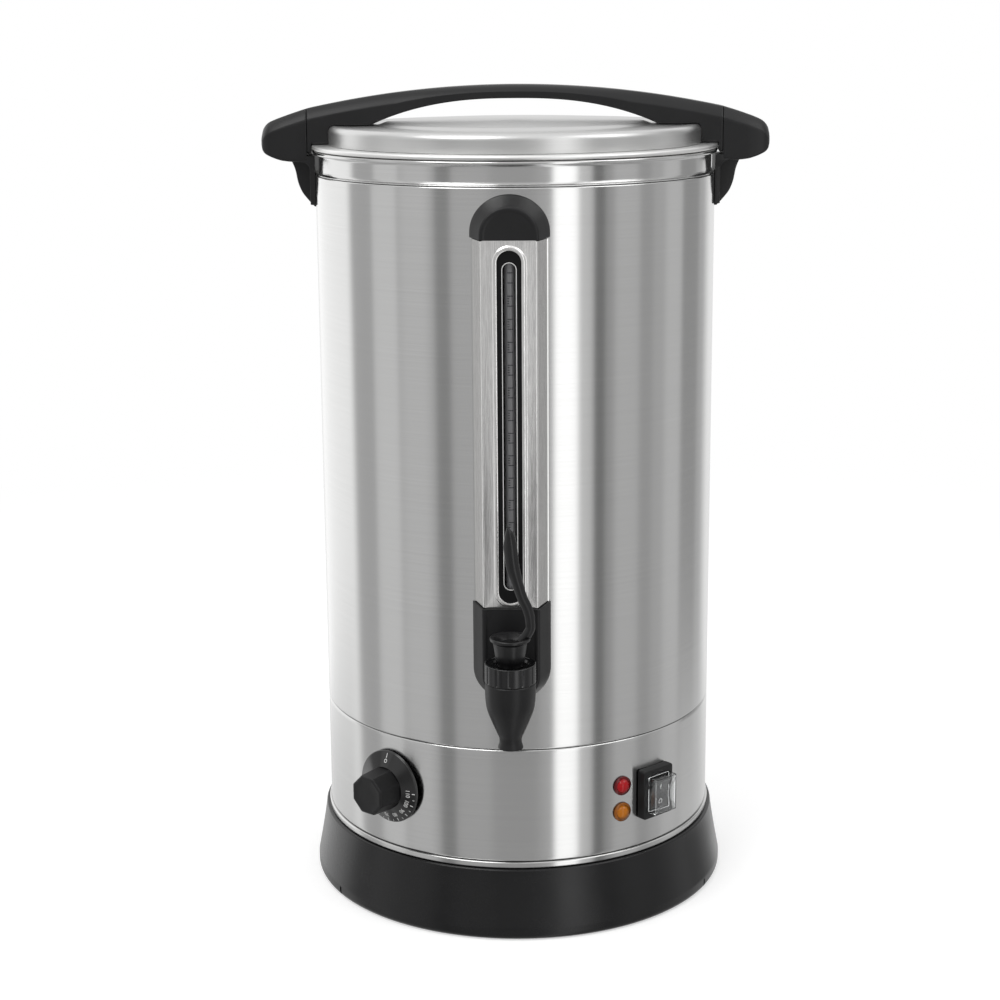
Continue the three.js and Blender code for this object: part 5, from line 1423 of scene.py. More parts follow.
    def strip(self) -> Piece:
        """The black strip with its window and a printed line round it."""
        front, back = self.strip_front, self.strip_front - self.strip_thick
        rim = [facing(frame_loop(*self.strip_size, 14, 20), forward) for forward in (front, back)]
        sheet = stacked([self.window_loop(-0.1, back), self.window_loop(-0.1, front - 0.1),
                         self.window_loop(0.0, front), *rim], 0, True)
        line = stacked([self.window_loop(grow, front + proud)
                        for grow, proud in ((0.08, 0.04), (0.58, 0.04), (0.58, -0.1), (0.08, -0.1))], 1, True)
        return Piece("gauge_strip_print", "urn", "scale_strip", [sheet, line], [STRIP_BLACK, WHITE_INK],
                     ["gauge_strip"])

    def tick(self, height: float, last: float) -> Lump:
        """A dark mark printed round the tube's front, from its common start to an azimuth."""
        a = np.radians(np.linspace(self.tick_start, last, 9))
        inner, outer = self.tick_radii
        rows = [np.stack([radius * np.sin(a), -self.tube_place - radius * np.cos(a),
                          np.full(9, height + lift)], 1)
                for radius, lift in ((inner, -self.tick_half), (outer, -self.tick_half),
                                     (outer, self.tick_half), (inner, self.tick_half))]
        return skin(np.stack(rows, 1), False, 1)

    def glass(self) -> Piece:
        """The sight tube: long marks in pairs, three short ones within each pair but the first."""
        lumps = [tube(*self.tube_size).moved(upright_frame(0, -self.tube_place, 0))]
        for number in range(self.tick_count):
            upper = self.tick_top - number * self.tick_step
            lumps += [self.tick(upper, self.tick_long), self.tick(upper - self.tick_pair, self.tick_long)]
            if number:
                lumps += [self.tick(upper - self.tick_pair * share, self.tick_short)
                          for share in (0.25, 0.5, 0.75)]
        return Piece("sight_glass", "urn", "clear_tube", lumps, [GLASS, DARK_INK], ["sight_tube"])

    def shroud(self, node: str, name: str, front: float, centre: float, share: float, end: float) -> Piece:
        """A moulded shroud: a dished face, a rounded edge, sloping sides and a foot on the shell.

        Args:
            node: the node that it stands for.
            name: its own name.
            front: how far forward its face stands.
            centre: height of its round end's centre.
            share: how round the end is.
            end: height of its straight end.

        Returns:
            The piece.
        """
        slope = self.shroud_flare / (front - self.back)
        turn = math.atan2(1.0, slope)
        start, r = self.shroud_half - 1.5, self.shroud_edge
        rows = [*self.shroud_rows]
        rows += [(start + r * math.sin(turn * t), r * (1 - math.cos(turn * t))) for t in np.linspace(0, 1, 7)]
        rows += [(self.shroud_half + slope * back, back)
                 for back in (*self.shroud_sides, front - self.shroud_end)]
        cuts = [end + (centre - end) * max(1 - half / self.shroud_mouth, 0) * 0.9 for half, _ in rows]
        loops = [facing(arch_loop(half, centre, share, cut, min(0.5, half / 3)), front - back)
                 for (half, back), cut in zip(rows, cuts)]
        foot = self.onto_shell(loops[-1] * [1.006, 1, 1])
        deep = foot * [0.2, 1, 1]
        deep[:, 1] = -self.shell
        return Piece(name, "urn", "black_plastic", [stacked([*loops, foot, deep])], [BLACK], [node])

    def pieces(self) -> list[Piece]:
        """The gauge's pieces, with the cap over it and the housing round the tap's shank."""
        return [self.cover(), self.strip(), self.glass(),
                self.shroud("gauge_top_cap", "gauge_cap_shroud", *self.cap),
                self.shroud("tap_housing", "tap_housing_shroud", *self.housing)]


@dataclass
class Tap:
    """The tap: bulb, ribbed collar and lever.

    Args:
        place: how far forward its upright axis stands.
        shank: height of the level shank.
        bottom: the spout's lower end.
        top: the bulb's upper end.
        widest: the bulb's greatest radius.
        bore: the spout's inner radius.
        chamber: the valve chamber's radius.
        seat: the chamber's floor.
        shank_tube: the shank's radii and its two ends.
        shank_flange: the same for its flange.
        bulb_shares: the bulb's radius and its height, each as a share.
        bonnet_line: the collar's corners.
        rib_count: ribs round the collar.
        rib_depth: how deep the grooves between them are.
        rib_wide: the cosine above which a groove begins.
        cup_outer: the cup's corners from its foot over the flared rim to the dish.
        cup_inner: the corners of the hollow under the cup.
        arm_shares: the arm's place across, its height, its width and its depth, each as a share.
        arm_bulge: how far the arm swings out.
    """

    place: float = 196.0
    shank: float = 200.0
    bottom: float = 163.7
    top: float = 212.1
    widest: float = 17.7
    bore: float = 6.1
    chamber: float = 13.4
    seat: float = 186.0
    shank_tube: tuple[float, ...] = (5.2, 8.6, 121.0, 182.2)
    shank_flange: tuple[float, ...] = (8.0, 10.6, 170.0, 173.2)
    bulb_shares: Pairs = (
        (0.505, 0), (0.49, 0.03), (0.442, 0.095), (0.442, 0.13), (0.56, 0.25), (0.63, 0.31), (0.79, 0.45),
        (0.9, 0.56), (0.96, 0.65), (0.995, 0.79), (1, 0.87), (1, 1))
    bonnet_line: Pairs = (
        (3.9, 216.9), (13.1, 216.9), (13.1, 212.4), (17.9, 212.4), (17.9, 225.9), (16.4, 225.9),
        (16.0, 225.4), (13.6, 225.4), (12.6, 223.5), (3.9, 223.5))
    bonnet_rounds: tuple[float, ...] = (0.2, 0.3, 0.3, 0.6, 0.9, 0.2, 0.15, 0.4, 0.5, 0.3)
    rib_count: int = 12
    rib_depth: float = 1.3
    rib_wide: float = 0.55
    rib_radius: float = 17.0
    rib_low: float = 213.0
    rib_high: float = 225.2
    cup_outer: Pairs = (
        (7.1, 223.8), (9.4, 223.8), (12.0, 241.0), (14.1, 242.4), (14.1, 244.6), (11.4, 244.0), (4.7, 241.0),
        (HUB, 241.0))
    cup_rounds: tuple[float, ...] = (0.3, 0.8, 2.4, 0.7, 0.8, 2.0, 3.0, 0)
    cup_inner: Pairs = ((HUB, 236.0), (7.1, 236.0), (7.1, 223.8))
    arm_shares: tuple[Four, ...] = (
        (0.52, 0, 0.74, 0.95), (0.8, 0.06, 0.72, 0.95), (0.98, 0.13, 0.7, 0.95), (0.96, 0.2, 0.72, 0.95),
        (0.84, 0.29, 0.76, 0.95), (0.61, 0.38, 0.76, 0.95), (0.37, 0.515, 0.82, 1), (0.15, 0.66, 0.97, 1),
        (0.05, 0.81, 1, 1), (0, 0.93, 0.72, 0.9), (-0.08, 1, 0.18, 0.4))
    arm_foot: float = 241.0
    arm_top: float = 322.5
    arm_bulge: float = 14.4
    arm_across: float = 4.6
    arm_deep: float = 3.2

    def axis(self) -> Array:
        """The tap's upright axis."""
        return upright_frame(0, -self.place, 0)

    def body(self) -> Piece:
        """The bulb with its spout and chamber, and the shank into the housing."""
        table = np.array(self.bulb_shares)
        up = np.concatenate([[0], np.linspace(0.006, 0.985, 44), [1.0]])
        radius = eased(table[:, 1], table[:, :1], up)[:, 0] * self.widest
        radius[0] -= 0.45
        radius[-1] -= 0.5
        outer = np.stack([radius, self.bottom + (self.top - self.bottom) * up], 1)
        inner = rounded([[self.chamber, self.top], [self.chamber, self.seat], [self.bore, self.seat],
                         [self.bore, self.bottom]], [0.3, 0.8, 0.6, 0.5], 4, False)
        bulb = turned(held(np.concatenate([outer, inner]), 0.5), 128)
        shank = tube(*self.shank_tube).moved(level_frame(self.shank))
        flange = tube(*self.shank_flange, 0.8).moved(level_frame(self.shank))
        return Piece("tap_bulb", "urn", "tap_plastic", [bulb.moved(self.axis()), shank, flange], [TAP_BLACK],
                     ["tap_body"])

    def bonnet(self) -> Piece:
        """The ribbed collar: its radius dips in even grooves, a clipped cosine in azimuth."""
        line = held(rounded(self.bonnet_line, self.bonnet_rounds, 5), 0.7)
        angles = around(32 * self.rib_count)
        wave = np.clip(np.cos(np.radians(angles * self.rib_count)), self.rib_wide, 1) - self.rib_wide
        radius, z = line[:, :1], line[:, 1:]
        ribbed = (radius > self.rib_radius) & (z < self.rib_high) & (z > self.rib_low)
        carve = ribbed * wave[None] * self.rib_depth
        lump = turned(line, angles=angles, carve=carve).moved(self.axis())
        return Piece("tap_collar", "urn", "tap_plastic", [lump], [TAP_GLOSS], ["tap_bonnet"])

    def arm(self) -> Lump:
        """The S-shaped arm: a leaf-shaped section with a ridge along each side, eased through its table."""
        table = np.array(self.arm_shares)
        share = np.concatenate([np.linspace(0, 0.96, 70), [0.972, 0.983, 0.992, 0.998, 1.0]])
        out, across, deep = eased(table[:, 1], table[:, [0, 2, 3]], share).T
        x, z = out * self.arm_bulge, self.arm_foot + (self.arm_top - self.arm_foot) * share
        along = np.stack([np.gradient(x), np.gradient(z)], 1)
        along /= np.linalg.norm(along, axis=1)[:, None]
        t = np.linspace(0, 2 * math.pi, 32, endpoint=False)
        side = np.cos(t) * (1 + 0.05 * np.cos(2 * t))
        front = np.sin(t) * (0.62 + 0.38 * np.abs(np.sin(t)))
        wide = (across * self.arm_across)[:, None] * side
        y = (deep * self.arm_deep)[:, None] * front
        return skin(np.stack([x[:, None] + wide * along[:, 1:], y, z[:, None] - wide * along[:, :1]], -1))

    def lever(self) -> Piece:
        """The lever: a flared cup with a dished top, and its arm."""
        outer = rounded(self.cup_outer, self.cup_rounds, 5, False)
        inner = rounded(self.cup_inner, [0, 0.6, 0.2], 4, False)
        lumps = [domed(np.concatenate([inner, outer]), 128), self.arm()]
        return Piece("tap_lever_grip", "tap_handle", "tap_plastic",
                     [lump.moved(self.axis()) for lump in lumps], [LEVER_BLACK], ["tap_lever"])

    def pieces(self) -> list[Piece]:
        """The tap's pieces."""
        return [self.body(), self.bonnet(), self.lever()]


@dataclass
class Dial:
    """The thermostat knob with its printed scale.

    Args:
        spot: where it sits.
        skirt: the skirt's radius.
        lift: how far the skirt stands off the band.
        edge: height of the skirt's rim.
        cone: height of the skirt at the grip.
        grip: the octagon's radius over its corners.
        grip_rows: size and height of the octagon's rows.
        print_air: how far the print lies over the skirt.
        first_turn: degrees clockwise from the top to the first figure.
        figure_turn: degrees from figure to figure.
        long_mark: width, length and place of the marks at the figures.
        short_mark: the same for the marks between them.
        off_bar: the same for the bar on top.
        off_ring: radii and place of the ring beside it.
    """

    spot: Spot = KNOB_SPOT
    skirt: float = 27.6
    lift: float = 1.3
    edge: float = 3.4
    cone: float = 8.0
    recess: float = 2.6
    recess_radius: float = 20.4
    bore: float = 3.3
    grip: float = 16.4
    grip_rows: Pairs = (
        (1.0, 7.0), (0.999, 8.2), (0.945, 24.8), (0.938, 25.9), (0.925, 26.6), (0.9, 27.1), (0.86, 27.35),
        (0.82, 27.4), (0.78, 27.35), (0.74, 27.15), (0.4, 27.1), (0.02, 27.1))
    print_air: float = 0.04
    print_half: float = 0.03
    first_turn: float = 90.0
    figure_turn: float = 22.5
    figure_count: int = 9
    figure_first: int = 110
    figure_step: int = 10
    figure_size: float = 3.1
    figure_radius: float = 21.2
    long_mark: Triple = (0.6, 2.2, 25.4)
    short_mark: Triple = (0.4, 1.3, 25.8)
    off_bar: Triple = (0.6, 3.4, 24.6)
    off_ring: Triple = (0.9, 1.4, 20.9)

    def cone_height(self, radius: Array) -> Array:
        """Height of the sloping skirt: it falls evenly from the grip to the rim."""
        return self.cone - (radius - self.grip) * (self.cone - self.edge) / (self.skirt - self.grip)

    def turned_skirt(self) -> Lump:
        """The skirt with its recess and the shaft's bore."""
        corners = [[self.bore, self.recess], [self.recess_radius, self.recess],
                   [self.recess_radius, self.lift], [self.skirt, self.lift], [self.skirt, self.edge],
                   [self.grip, self.cone], [self.bore, self.cone]]
        return turned(held(rounded(corners, [0, 0.4, 0.3, 0.5, 1.0, 0.5, 0], 5), 0.5), 192, 2)

    def octagon(self) -> Lump:
        """The eight-sided grip: one rounded octagon, drawn in towards its top and dished there."""
        corner = np.radians(22.5 + 45 * np.arange(8))
        outline = rounded(np.stack([np.cos(corner), np.sin(corner)], 1), 0.09, 5)
        return stacked([lying(outline * size * self.grip, z) for size, z in self.grip_rows])

    def printed(self, lump: Lump, turn: float, radius: float) -> Lump:
        """Lays a flat print on the sloping skirt at a clockwise turn from the top.

        Args:
            lump: the flat print about the origin, its top towards +Y.
            turn: degrees clockwise.
            radius: how far out its middle lies.

        Returns:
            The print, in its place, as finish 1.
        """
        a = math.radians(turn)
        points = lump.points + [0, radius, 0]
        x = points[:, 0] * math.cos(a) + points[:, 1] * math.sin(a)
        y = points[:, 1] * math.cos(a) - points[:, 0] * math.sin(a)
        z = self.cone_height(np.hypot(x, y)) + points[:, 2] + self.print_air
        return Lump(np.stack([x, y, z], 1), lump.quads, lump.tris, 1)

    def bar(self, size: Triple, turn: float) -> Lump:
        """A printed bar of a width, a length and a place, at a clockwise turn."""
        wide, tall, radius = size
        return self.printed(boxed(wide, tall, -self.print_half, self.print_half, 0.1), turn, radius)

    def scale(self) -> list[Lump]:
        """Falling figures round the skirt, long and short marks outside them, a bar and a ring on top."""
        out = [self.printed(lettering(str(self.figure_first - self.figure_step * number), self.figure_size),
                            self.first_turn + self.figure_turn * number, self.figure_radius)
               for number in range(self.figure_count)]
        out += [self.bar(self.short_mark if number % 2 else self.long_mark,
                         self.first_turn + self.figure_turn / 2 * number)
                for number in range(2 * self.figure_count - 1)]
        inner, outer, radius = self.off_ring
        ring = tube(inner, outer, -self.print_half, self.print_half, 0.0, 24)
        return [*out, self.bar(self.off_bar, 0), self.printed(ring, 0, radius)]

    def piece(self) -> Piece:
        """The knob and its print."""
        lumps = [self.turned_skirt(), self.octagon(), *self.scale()]
        return Piece("thermostat_knob_cap", "dial", "knob_plastic",
                     [lump.moved(self.spot.frame()) for lump in lumps], [KNOB_BLACK, WHITE_INK, KNOB_GLOSS],
                     ["thermostat_knob"])


@dataclass
class Switch:
    """The switch: bezel, rocker and clear cover.

    Args:
        spot: where it sits.
        bezel_rows: half width, height and corner radius of the bezel's rows, from pocket round to back.
        pocket_extra: how much taller than wide the pocket's rows are, on each side.
        bezel_extra: the same for the outer rows.
        rocker_up: heights of the rocker's rows.
        rocker_out: how far each row stands out.
        rocker_across: half widths of its columns, as shares of rocker_half.
        rocker_pull: how far each column is drawn in.
        rocker_tilt: degrees that it tips as it rests.
        rocker_foot: from which height its ends begin, and where they and its middle end below.
        mark_line: width and length of the printed line.
        mark_ring: radii of the printed ring.
        cover_outer: growth and height of the cover's outer rows.
        cover_inner: the same inside.
    """

    spot: Spot = SWITCH_SPOT
    bezel_rows: tuple[Triple, ...] = (
        (9.9, -6.0, 0.6), (9.9, 6.4, 0.6), (10.2, 6.8, 0.8), (10.8, 7.0, 1.0), (14.2, 7.0, 1.4),
        (14.75, 6.75, 1.7), (15.0, 6.1, 1.9), (15.0, 0.3, 1.9), (13.0, 0.3, 1.0), (13.0, -16.0, 1.0))
    pocket_reach: float = 12.5
    pocket_extra: float = 3.3
    bezel_extra: float = 4.0
    rocker_half: float = 9.2
    rocker_up: tuple[float, ...] = (-11.3, -11.3, -10.9, -8, -4, -1.5, 0, 1.5, 4, 8, 10.9, 11.3, 11.3)
    rocker_out: tuple[float, ...] = (1.0, 7.6, 8.2, 7.55, 6.9, 6.35, 6.2, 6.35, 6.9, 7.55, 8.2, 7.6, 1.0)
    rocker_across: tuple[float, ...] = (-1, -0.985, -0.95, 0, 0.95, 0.985, 1)
    rocker_pull: tuple[float, ...] = (0.7, 0.25, 0, 0.1, 0, 0.25, 0.7)
    rocker_axle: float = 1.0
    rocker_tilt: float = 9.0
    rocker_foot: Triple = (11.0, 0.8, -1.0)
    mark_low: float = 7.3
    mark_high: float = 7.42
    mark_place: float = 6.0
    mark_line: Pair = (0.9, 4.2)
    mark_ring: Pair = (1.5, 2.2)
    cover_half: float = 10.9
    cover_bore: float = 10.1
    cover_extra: float = 2.9
    cover_outer: Pairs = ((0.0, 7.3), (0.0, 14.3), (-0.15, 14.75), (-0.5, 15.0))
    cover_inner: Pairs = ((-0.3, 14.2), (-0.08, 14.1), (0.0, 13.8), (0.0, 7.3))

    def bezel(self) -> Piece:
        """The bezel with its pocket."""
        loops = []
        for half, z, radius in self.bezel_rows:
            extra = self.pocket_extra if half < self.pocket_reach else self.bezel_extra
            loops.append(lying(frame_loop(half, -half - extra, half + extra, radius, 6, 8), z))
        ends = [loops[-1] * [0.05, 0.05, 1], loops[0] * [0.05, 0.05, 1]]
        lump = stacked([*loops, *ends], 0, True).moved(self.spot.frame())
        return Piece("switch_bezel", "urn", "black_plastic", [lump], [KNOB_BLACK], ["switch_housing"])

    def tilted(self) -> Array:
        """The rocker's frame: its axle over the band, tipped about X."""
        a = math.radians(self.rocker_tilt)
        tilt = np.eye(4)
        tilt[1:3, 1:3] = [[math.cos(a), -math.sin(a)], [math.sin(a), math.cos(a)]]
        return self.spot.frame() @ upright_frame(0, 0, self.rocker_axle) @ tilt

    def rocker(self) -> Piece:
        """The rocker: two slopes that meet in a shallow valley, tilted as it rests, and its two marks."""
        up, out = np.array(self.rocker_up)[:, None], np.array(self.rocker_out)[:, None]
        across = self.rocker_half * np.array(self.rocker_across)
        shape = (len(up), len(across))
        top = np.stack([np.broadcast_to(across, shape), np.broadcast_to(up, shape),
                        out - self.rocker_pull], -1)
        low = top.copy()
        start, at_end, at_middle = self.rocker_foot
        low[..., 2] = np.where(np.abs(up) > start, at_end, at_middle)
        ends = (self.mark_low, self.mark_high)
        line = boxed(*self.mark_line, *ends, 0.1, 0, 1).moved(upright_frame(0, self.mark_place, 0))
        ring = tube(*self.mark_ring, *ends, 0.0, 32).moved(upright_frame(0, -self.mark_place, 0))
        ring.finish = 1
        cap = skin(np.concatenate([top, low[:, ::-1]], 1))
        lumps = [lump.moved(self.tilted()) for lump in (cap, line, ring)]
        return Piece("switch_rocker_cap", "rocker", "knob_plastic", lumps,
                     [ROCKER_GREY, WHITE_INK], ["switch_rocker"])

    def cover(self) -> Piece:
        """The clear cover: a thin box, open towards the bezel, with narrow rounds on its edges."""
        outer = [self.cover_loop(self.cover_half + grow, z) for grow, z in self.cover_outer]
        inner = [self.cover_loop(self.cover_bore + grow, z) for grow, z in self.cover_inner]
        middle = [outer[-1] * [0.02, 0.02, 1], inner[0] * [0.02, 0.02, 1]]
        lump = stacked([*outer, *middle, *inner], 0, True).moved(self.spot.frame())
        return Piece("switch_clear_cover", "urn", "clear_cover", [lump], [COVER_CLEAR], ["switch_cover"])

    def cover_loop(self, half: float, z: float) -> Array:
        """One rounded outline of the cover."""
        return lying(frame_loop(half, -half - self.cover_extra, half + self.cover_extra, 0.6, 6, 8), z)

    def pieces(self) -> list[Piece]:
        """The switch's pieces."""
        return [self.bezel(), self.rocker(), self.cover()]


@dataclass
class Lamp:
    """A pilot lamp's lens.

    Args:
        name: its node's name.
        spot: where it sits.
        finish: its colour.
        rim: the deeper colour of its flange.
        slot: the record's slot.
        dome: radius and height of its dome.
        dome_foot: height where the dome's curve begins.
        flange: the flange's corners.
    """

    name: str
    spot: Spot
    finish: Finish
    rim: Finish
    slot: str
    dome: Pair = (5.7, 4.0)
    dome_low: float = 0.6
    dome_foot: float = 1.4
    flange: Pairs = ((0, 0.3), (7.3, 0.3), (7.3, 1.4), (5.9, 2.0), (0, 2.0))
    flange_rounds: tuple[float, ...] = (0, 0.15, 0.5, 0.3, 0)

    def piece(self) -> Piece:
        """Flange and dome: a quarter of an ellipse turned about the lamp's axis."""
        curve = arc((0, 0), 1.0, 0, 90, 11) * self.dome + [0, self.dome_foot]
        line = np.concatenate([[[self.dome[0], self.dome_low]], curve])
        lumps = [domed(rounded(self.flange, self.flange_rounds, 4, False), 64, 1), domed(line, 64)]
        return Piece(self.name + "_dome", "urn", self.slot, [lump.moved(self.spot.frame()) for lump in lumps],
                     [self.finish, self.rim], [self.name])


@dataclass
class Gland:
    """The cord gland in the back of the base.

    Args:
        height: height of its axis.
        line: its corners, as radius and how far back they lie.
        rounds: the corners' rounds.
    """

    height: float = 30.0
    line: Pairs = (
        (4.2, 142.0), (7.0, 142.0), (7.0, 153.5), (10.0, 153.5), (10.0, 162.4), (4.2, 162.4))
    rounds: tuple[float, ...] = (0.3, 0.5, 0.5, 0, 1.2, 1.0)

    def piece(self) -> Piece:
        """A flanged tube along Y."""
        line = held(rounded(self.line, self.rounds, 4), 0.4)
        lump = turned(line, 64).moved(level_frame(self.height, 1.0))
        return Piece("cord_gland_bush", "urn", "black_plastic", [lump.outward()], [BLACK], ["cord_gland"])


# Stage

@dataclass(frozen=True)
class Panel:
    """A soft upright panel of the studio, far away.

    Args:
        azimuth: its middle, 0 towards the camera, rising to the right.
        half: half its width in degrees.
        soft: how far its edge fades.
        level: its brightness.
        lower: its lower edge, as the sine of its height over the horizon.
        upper: its upper edge; past 1 it has no ends.
    """

    azimuth: float
    half: float
    soft: float
    level: float
    lower: float = -2.0
    upper: float = 2.0

    def mask(self, tree: Tree, level_way: Wire, rise: Wire) -> Wire:
        """Where the panel is seen.

        Args:
            tree: the world's tree.
            level_way: the level direction, one metre long.
            rise: the sine of the height over the horizon.

        Returns:
            1 on the panel, 0 off it: ramps on the cosine of the angle to its middle and on the rise.
        """
        a = math.radians(self.azimuth)
        near = tree.vector("DOT_PRODUCT", level_way, (math.sin(a), -math.cos(a), 0.0), output=1)
        out = near.ramp(math.cos(math.radians(self.half + self.soft / 2)),
                        math.cos(math.radians(max(self.half - self.soft / 2, 0))))
        if self.upper < 1:
            out = out * rise.ramp(self.lower - 0.03, self.lower)
            out = out * (1 - rise.ramp(self.upper, self.upper + 0.004))
        return out


@dataclass(frozen=True)
class SoftLight:
    """A round soft light.

    Args:
        name: its name.
        place: where it stands.
        size: its diameter.
        power: its watts.
    """

    name: str
    place: Triple
    size: float
    power: float


@dataclass
class Studio:
    """Camera, light, floor and the surroundings that the steel mirrors.

    Args:
        location: the camera's place.
        lens: its focal length.
        sensor: its sensor's width.
        pitch: degrees down.
        roll: degrees about its own axis.
        yaw: degrees to the side.
        turn: degrees by which the view is turned about the urn.
        lift: the picture's shift upwards.
        ambient: brightness of the surroundings for matt surfaces.
        steady: their brightness in the steel, off the panels.
        dim: their share of it close to the floor.
        dim_rise: between which rises it fades in.
        overhead: their brightness overhead, in the steel.
        overhead_rise: between which rises that fades in.
        panels: what the steel mirrors, each laid over the ones before it.
        lights: the soft lights above.
        aim: the point that they are turned towards.
        floor_radii: the rings of the floor, in millimetres.
        paper: how light the floor is.
        glow: what the floor adds to the camera's view, so that it is white off the shadow.
        far_glow: how bright the far floor is for matt surfaces.
        far_start: where the floor begins to turn into plain white.
        far_end: where it is plain white.
    """

    location: Triple = (0.0396, -1.5120, 0.6609)
    lens: float = 71.59
    sensor: float = 36.0
    pitch: float = 12.463
    roll: float = -0.419
    yaw: float = -0.487
    turn: float = 1.5
    lift: float = -0.04
    ambient: float = 0.72
    steady: float = 0.54
    dim: float = 0.85
    dim_rise: Pair = (-0.42, -0.34)
    overhead: float = 1.05
    overhead_rise: Pair = (0.35, 0.85)
    panels: tuple[Panel, ...] = (
        Panel(-144, 36.5, 8, 1.27), Panel(-78.5, 9, 3, 0.80), Panel(-58, 8.5, 8, 0.69),
        Panel(-40.3, 4.2, 4, 0.31), Panel(0, 12, 8, 0.50), Panel(41, 4.5, 5, 0.78),
        Panel(30, 7, 3.5, 1.75), Panel(54.5, 4, 5, 0.42), Panel(50, 3.2, 2.4, 0.21),
        Panel(68.5, 8, 4, 0.61), Panel(81.5, 4.5, 4, 0.45), Panel(105, 8, 6, 0.68),
        Panel(122, 9.5, 5, 0.39), Panel(168, 22, 18, 1.0), Panel(180, 16, 20, 0.88),
        Panel(0, 14, 5, 0.14, -0.275, -0.222), Panel(180, 66, 14, 0.80, -2.0, -0.327))
    lights: tuple[SoftLight, ...] = (
        SoftLight("key", (-0.9, -1.1, 2.1), 1.4, 16.0), SoftLight("fill", (1.3, -0.6, 1.7), 1.2, 6.0))
    aim: Triple = (0.0, 0.0, 0.35)
    floor_radii: tuple[float, ...] = (0.02, 300, 900, 3000, 9000)
    floor_sides: int = 96
    paper: float = 0.75
    glow: float = 0.45
    far_glow: float = 0.7
    far_start: float = 0.45
    far_end: float = 1.5

    @staticmethod
    def placed(name: str, data: bpy.types.ID, place: Matrix) -> bpy.types.Object:
        """Links a camera or a light at its place."""
        made = bpy.data.objects.new(name, data)
        bpy.context.scene.collection.objects.link(made)
        made.matrix_world = place
        return made

    def camera(self) -> None:
        """The camera: pitch, then roll about its own axis, then yaw and the model's turn about Z."""
        p, y, r = math.radians(self.pitch), math.radians(self.yaw), math.radians(self.roll)
        right = np.array([math.cos(y), -math.sin(y), 0])
        forward = np.array([math.sin(y) * math.cos(p), math.cos(y) * math.cos(p), -math.sin(p)])
        up = np.array([math.sin(y) * math.sin(p), math.cos(y) * math.sin(p), math.cos(p)])
        right, up = (math.cos(r) * right + math.sin(r) * up, math.cos(r) * up - math.sin(r) * right)
        axes = Matrix([[right[k], up[k], -forward[k]] for k in range(3)]).to_4x4()
        data = bpy.data.cameras.new("camera")
        data.sensor_width, data.lens, data.shift_y = self.sensor, self.lens, self.lift
        data.clip_start, data.clip_end = 0.05, 60.0
        place = Matrix.Translation(self.location) @ Matrix.Rotation(math.radians(self.turn), 4, "Z") @ axes
        bpy.context.scene.camera = self.placed("camera", data, place)

    def mirrored(self, tree: Tree) -> Wire:
        """Brightness of the surroundings in the steel: panels over each other, dim below, light above."""
        way = tree.node("ShaderNodeTexCoord", output="Generated")
        level_way = tree.vector("NORMALIZE", tree.vector("MULTIPLY", way, (1.0, 1.0, 0.0)))
        rise = tree.node("ShaderNodeSeparateXYZ", None, {0: way}, 2)
        level: Term = self.steady
        for panel in self.panels:
            level = panel.mask(tree, level_way, rise) * (panel.level - level) + level
        level = level * (rise.ramp(*self.dim_rise) * (1 - self.dim) + self.dim)
        return level + rise.ramp(*self.overhead_rise) * (self.overhead - level)

    def world(self) -> None:
        """Even light, white to the camera, and soft panels for what mirrors it."""
        world = bpy.data.worlds.new("studio")
        bpy.context.scene.world = world
        world.use_nodes = True
        tree = Tree(world.node_tree)
        glossy = tree.node("ShaderNodeLightPath", output="Is Glossy Ray")
        strength = self.ambient + glossy * (self.mirrored(tree) - self.ambient)
        strength = strength + tree.seen() * (1.0 - strength)
        back = tree.node("ShaderNodeBackground", None, {"Color": grey(1.0), "Strength": strength})
        tree.node("ShaderNodeOutputWorld", None, {"Surface": back})

    def lamps(self) -> None:
        """The soft lights above, each turned towards the urn."""
        for light in self.lights:
            data = bpy.data.lights.new(light.name, "AREA")
            data.shape, data.size, data.energy = "DISK", light.size, light.power
            way = Vector(self.aim) - Vector(light.place)
            turn = way.to_track_quat("-Z", "Y").to_matrix().to_4x4()
            self.placed(light.name, data, Matrix.Translation(light.place) @ turn)

    def floor(self) -> None:
        """A wide floor, white to the camera where nothing shades it."""
        ring = np.linspace(0, 2 * math.pi, self.floor_sides, endpoint=False)
        radius = np.array(self.floor_radii)[:, None]
        across, along = radius * np.cos(ring), radius * np.sin(ring)
        lump = skin(np.stack([across, along, 0 * along], -1))
        keep = lump.tris[:, 2] == len(lump.points) - 2
        made = mesh_object("floor", [Lump(lump.points, lump.quads, lump.tris[keep])], 30)
        material = bpy.data.materials.new("floor")
        material.use_nodes = True
        tree = Tree(material.node_tree)
        seen = tree.seen()
        far = tree.vector("LENGTH", tree.place(), output=1).ramp(self.far_start, self.far_end)
        glow = tree.node("ShaderNodeEmission", None, {"Color": grey(1.0), "Strength": seen * self.glow})
        paper = tree.node("ShaderNodeBsdfDiffuse", None, {"Color": grey(self.paper)})
        near = tree.node("ShaderNodeAddShader", None, {0: glow, 1: paper})
        white = tree.node("ShaderNodeEmission", None, {
            "Color": grey(1.0), "Strength": seen * (1 - self.far_glow) + self.far_glow})
        tree.node("ShaderNodeOutputMaterial", None, {"Surface": tree.node(
            "ShaderNodeMixShader", None, {0: far, 1: near, 2: white})})
        made.data.materials.append(material)
        made.visible_glossy = False

    def build(self) -> None:
        """Everything round the object."""
        self.camera()
        self.world()
        self.lamps()
        self.floor()
        bpy.context.scene.view_settings.view_transform = "Standard"


def dress_nodes(frame: dict[str, Any]) -> None:
    """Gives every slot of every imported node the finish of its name.
    """
    for node in frame["nodes"].values():
        for place in node.material_slots:
            slot = place.material.name.split(".")[0]
            place.material = NODE_FINISHES.get(slot, BLACK).material()


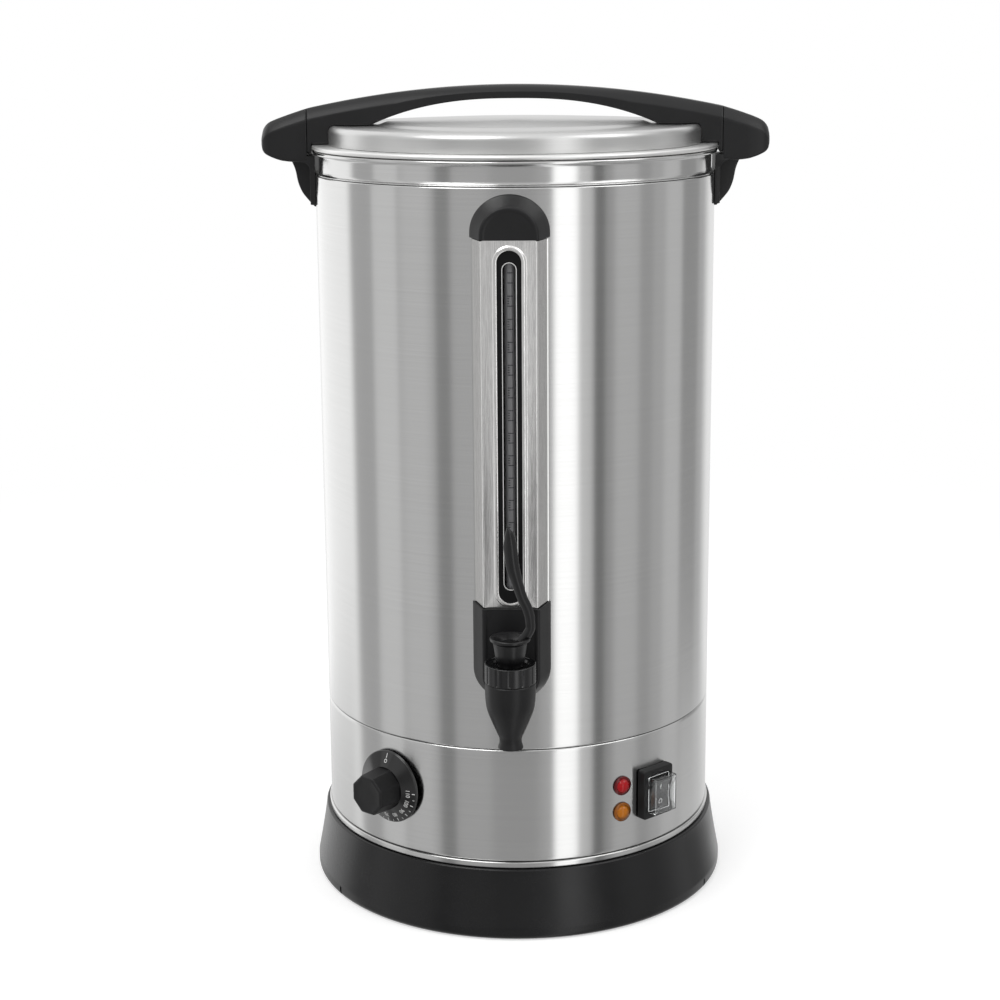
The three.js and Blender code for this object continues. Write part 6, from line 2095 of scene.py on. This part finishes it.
def corners(box: Any) -> list[list[float]]:
    """A box as two lists of numbers."""
    return [[round(float(value), 5) for value in corner] for corner in box]


def main() -> None:
    """Builds the urn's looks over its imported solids."""
    logging.basicConfig(level=logging.INFO, format="%(name)s: %(message)s")
    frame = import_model()
    Studio().build()
    dress_nodes(frame)
    pieces = [*Shells().pieces(), *Lid().pieces(), SideHandle("side_handle_left", -1.0, True).piece(),
              SideHandle("side_handle_right", 1.0).piece(), *Gauge().pieces(), *Tap().pieces(),
              Dial().piece(), *Switch().pieces(),
              Lamp("red_lamp_lens", RED_SPOT, RED, RED_RIM, "red_lens").piece(),
              Lamp("amber_lamp_lens", AMBER_SPOT, AMBER, AMBER_RIM, "amber_lens").piece(), Gland().piece()]
    for piece in pieces:
        piece.make()


if __name__ == "__main__":
    main()
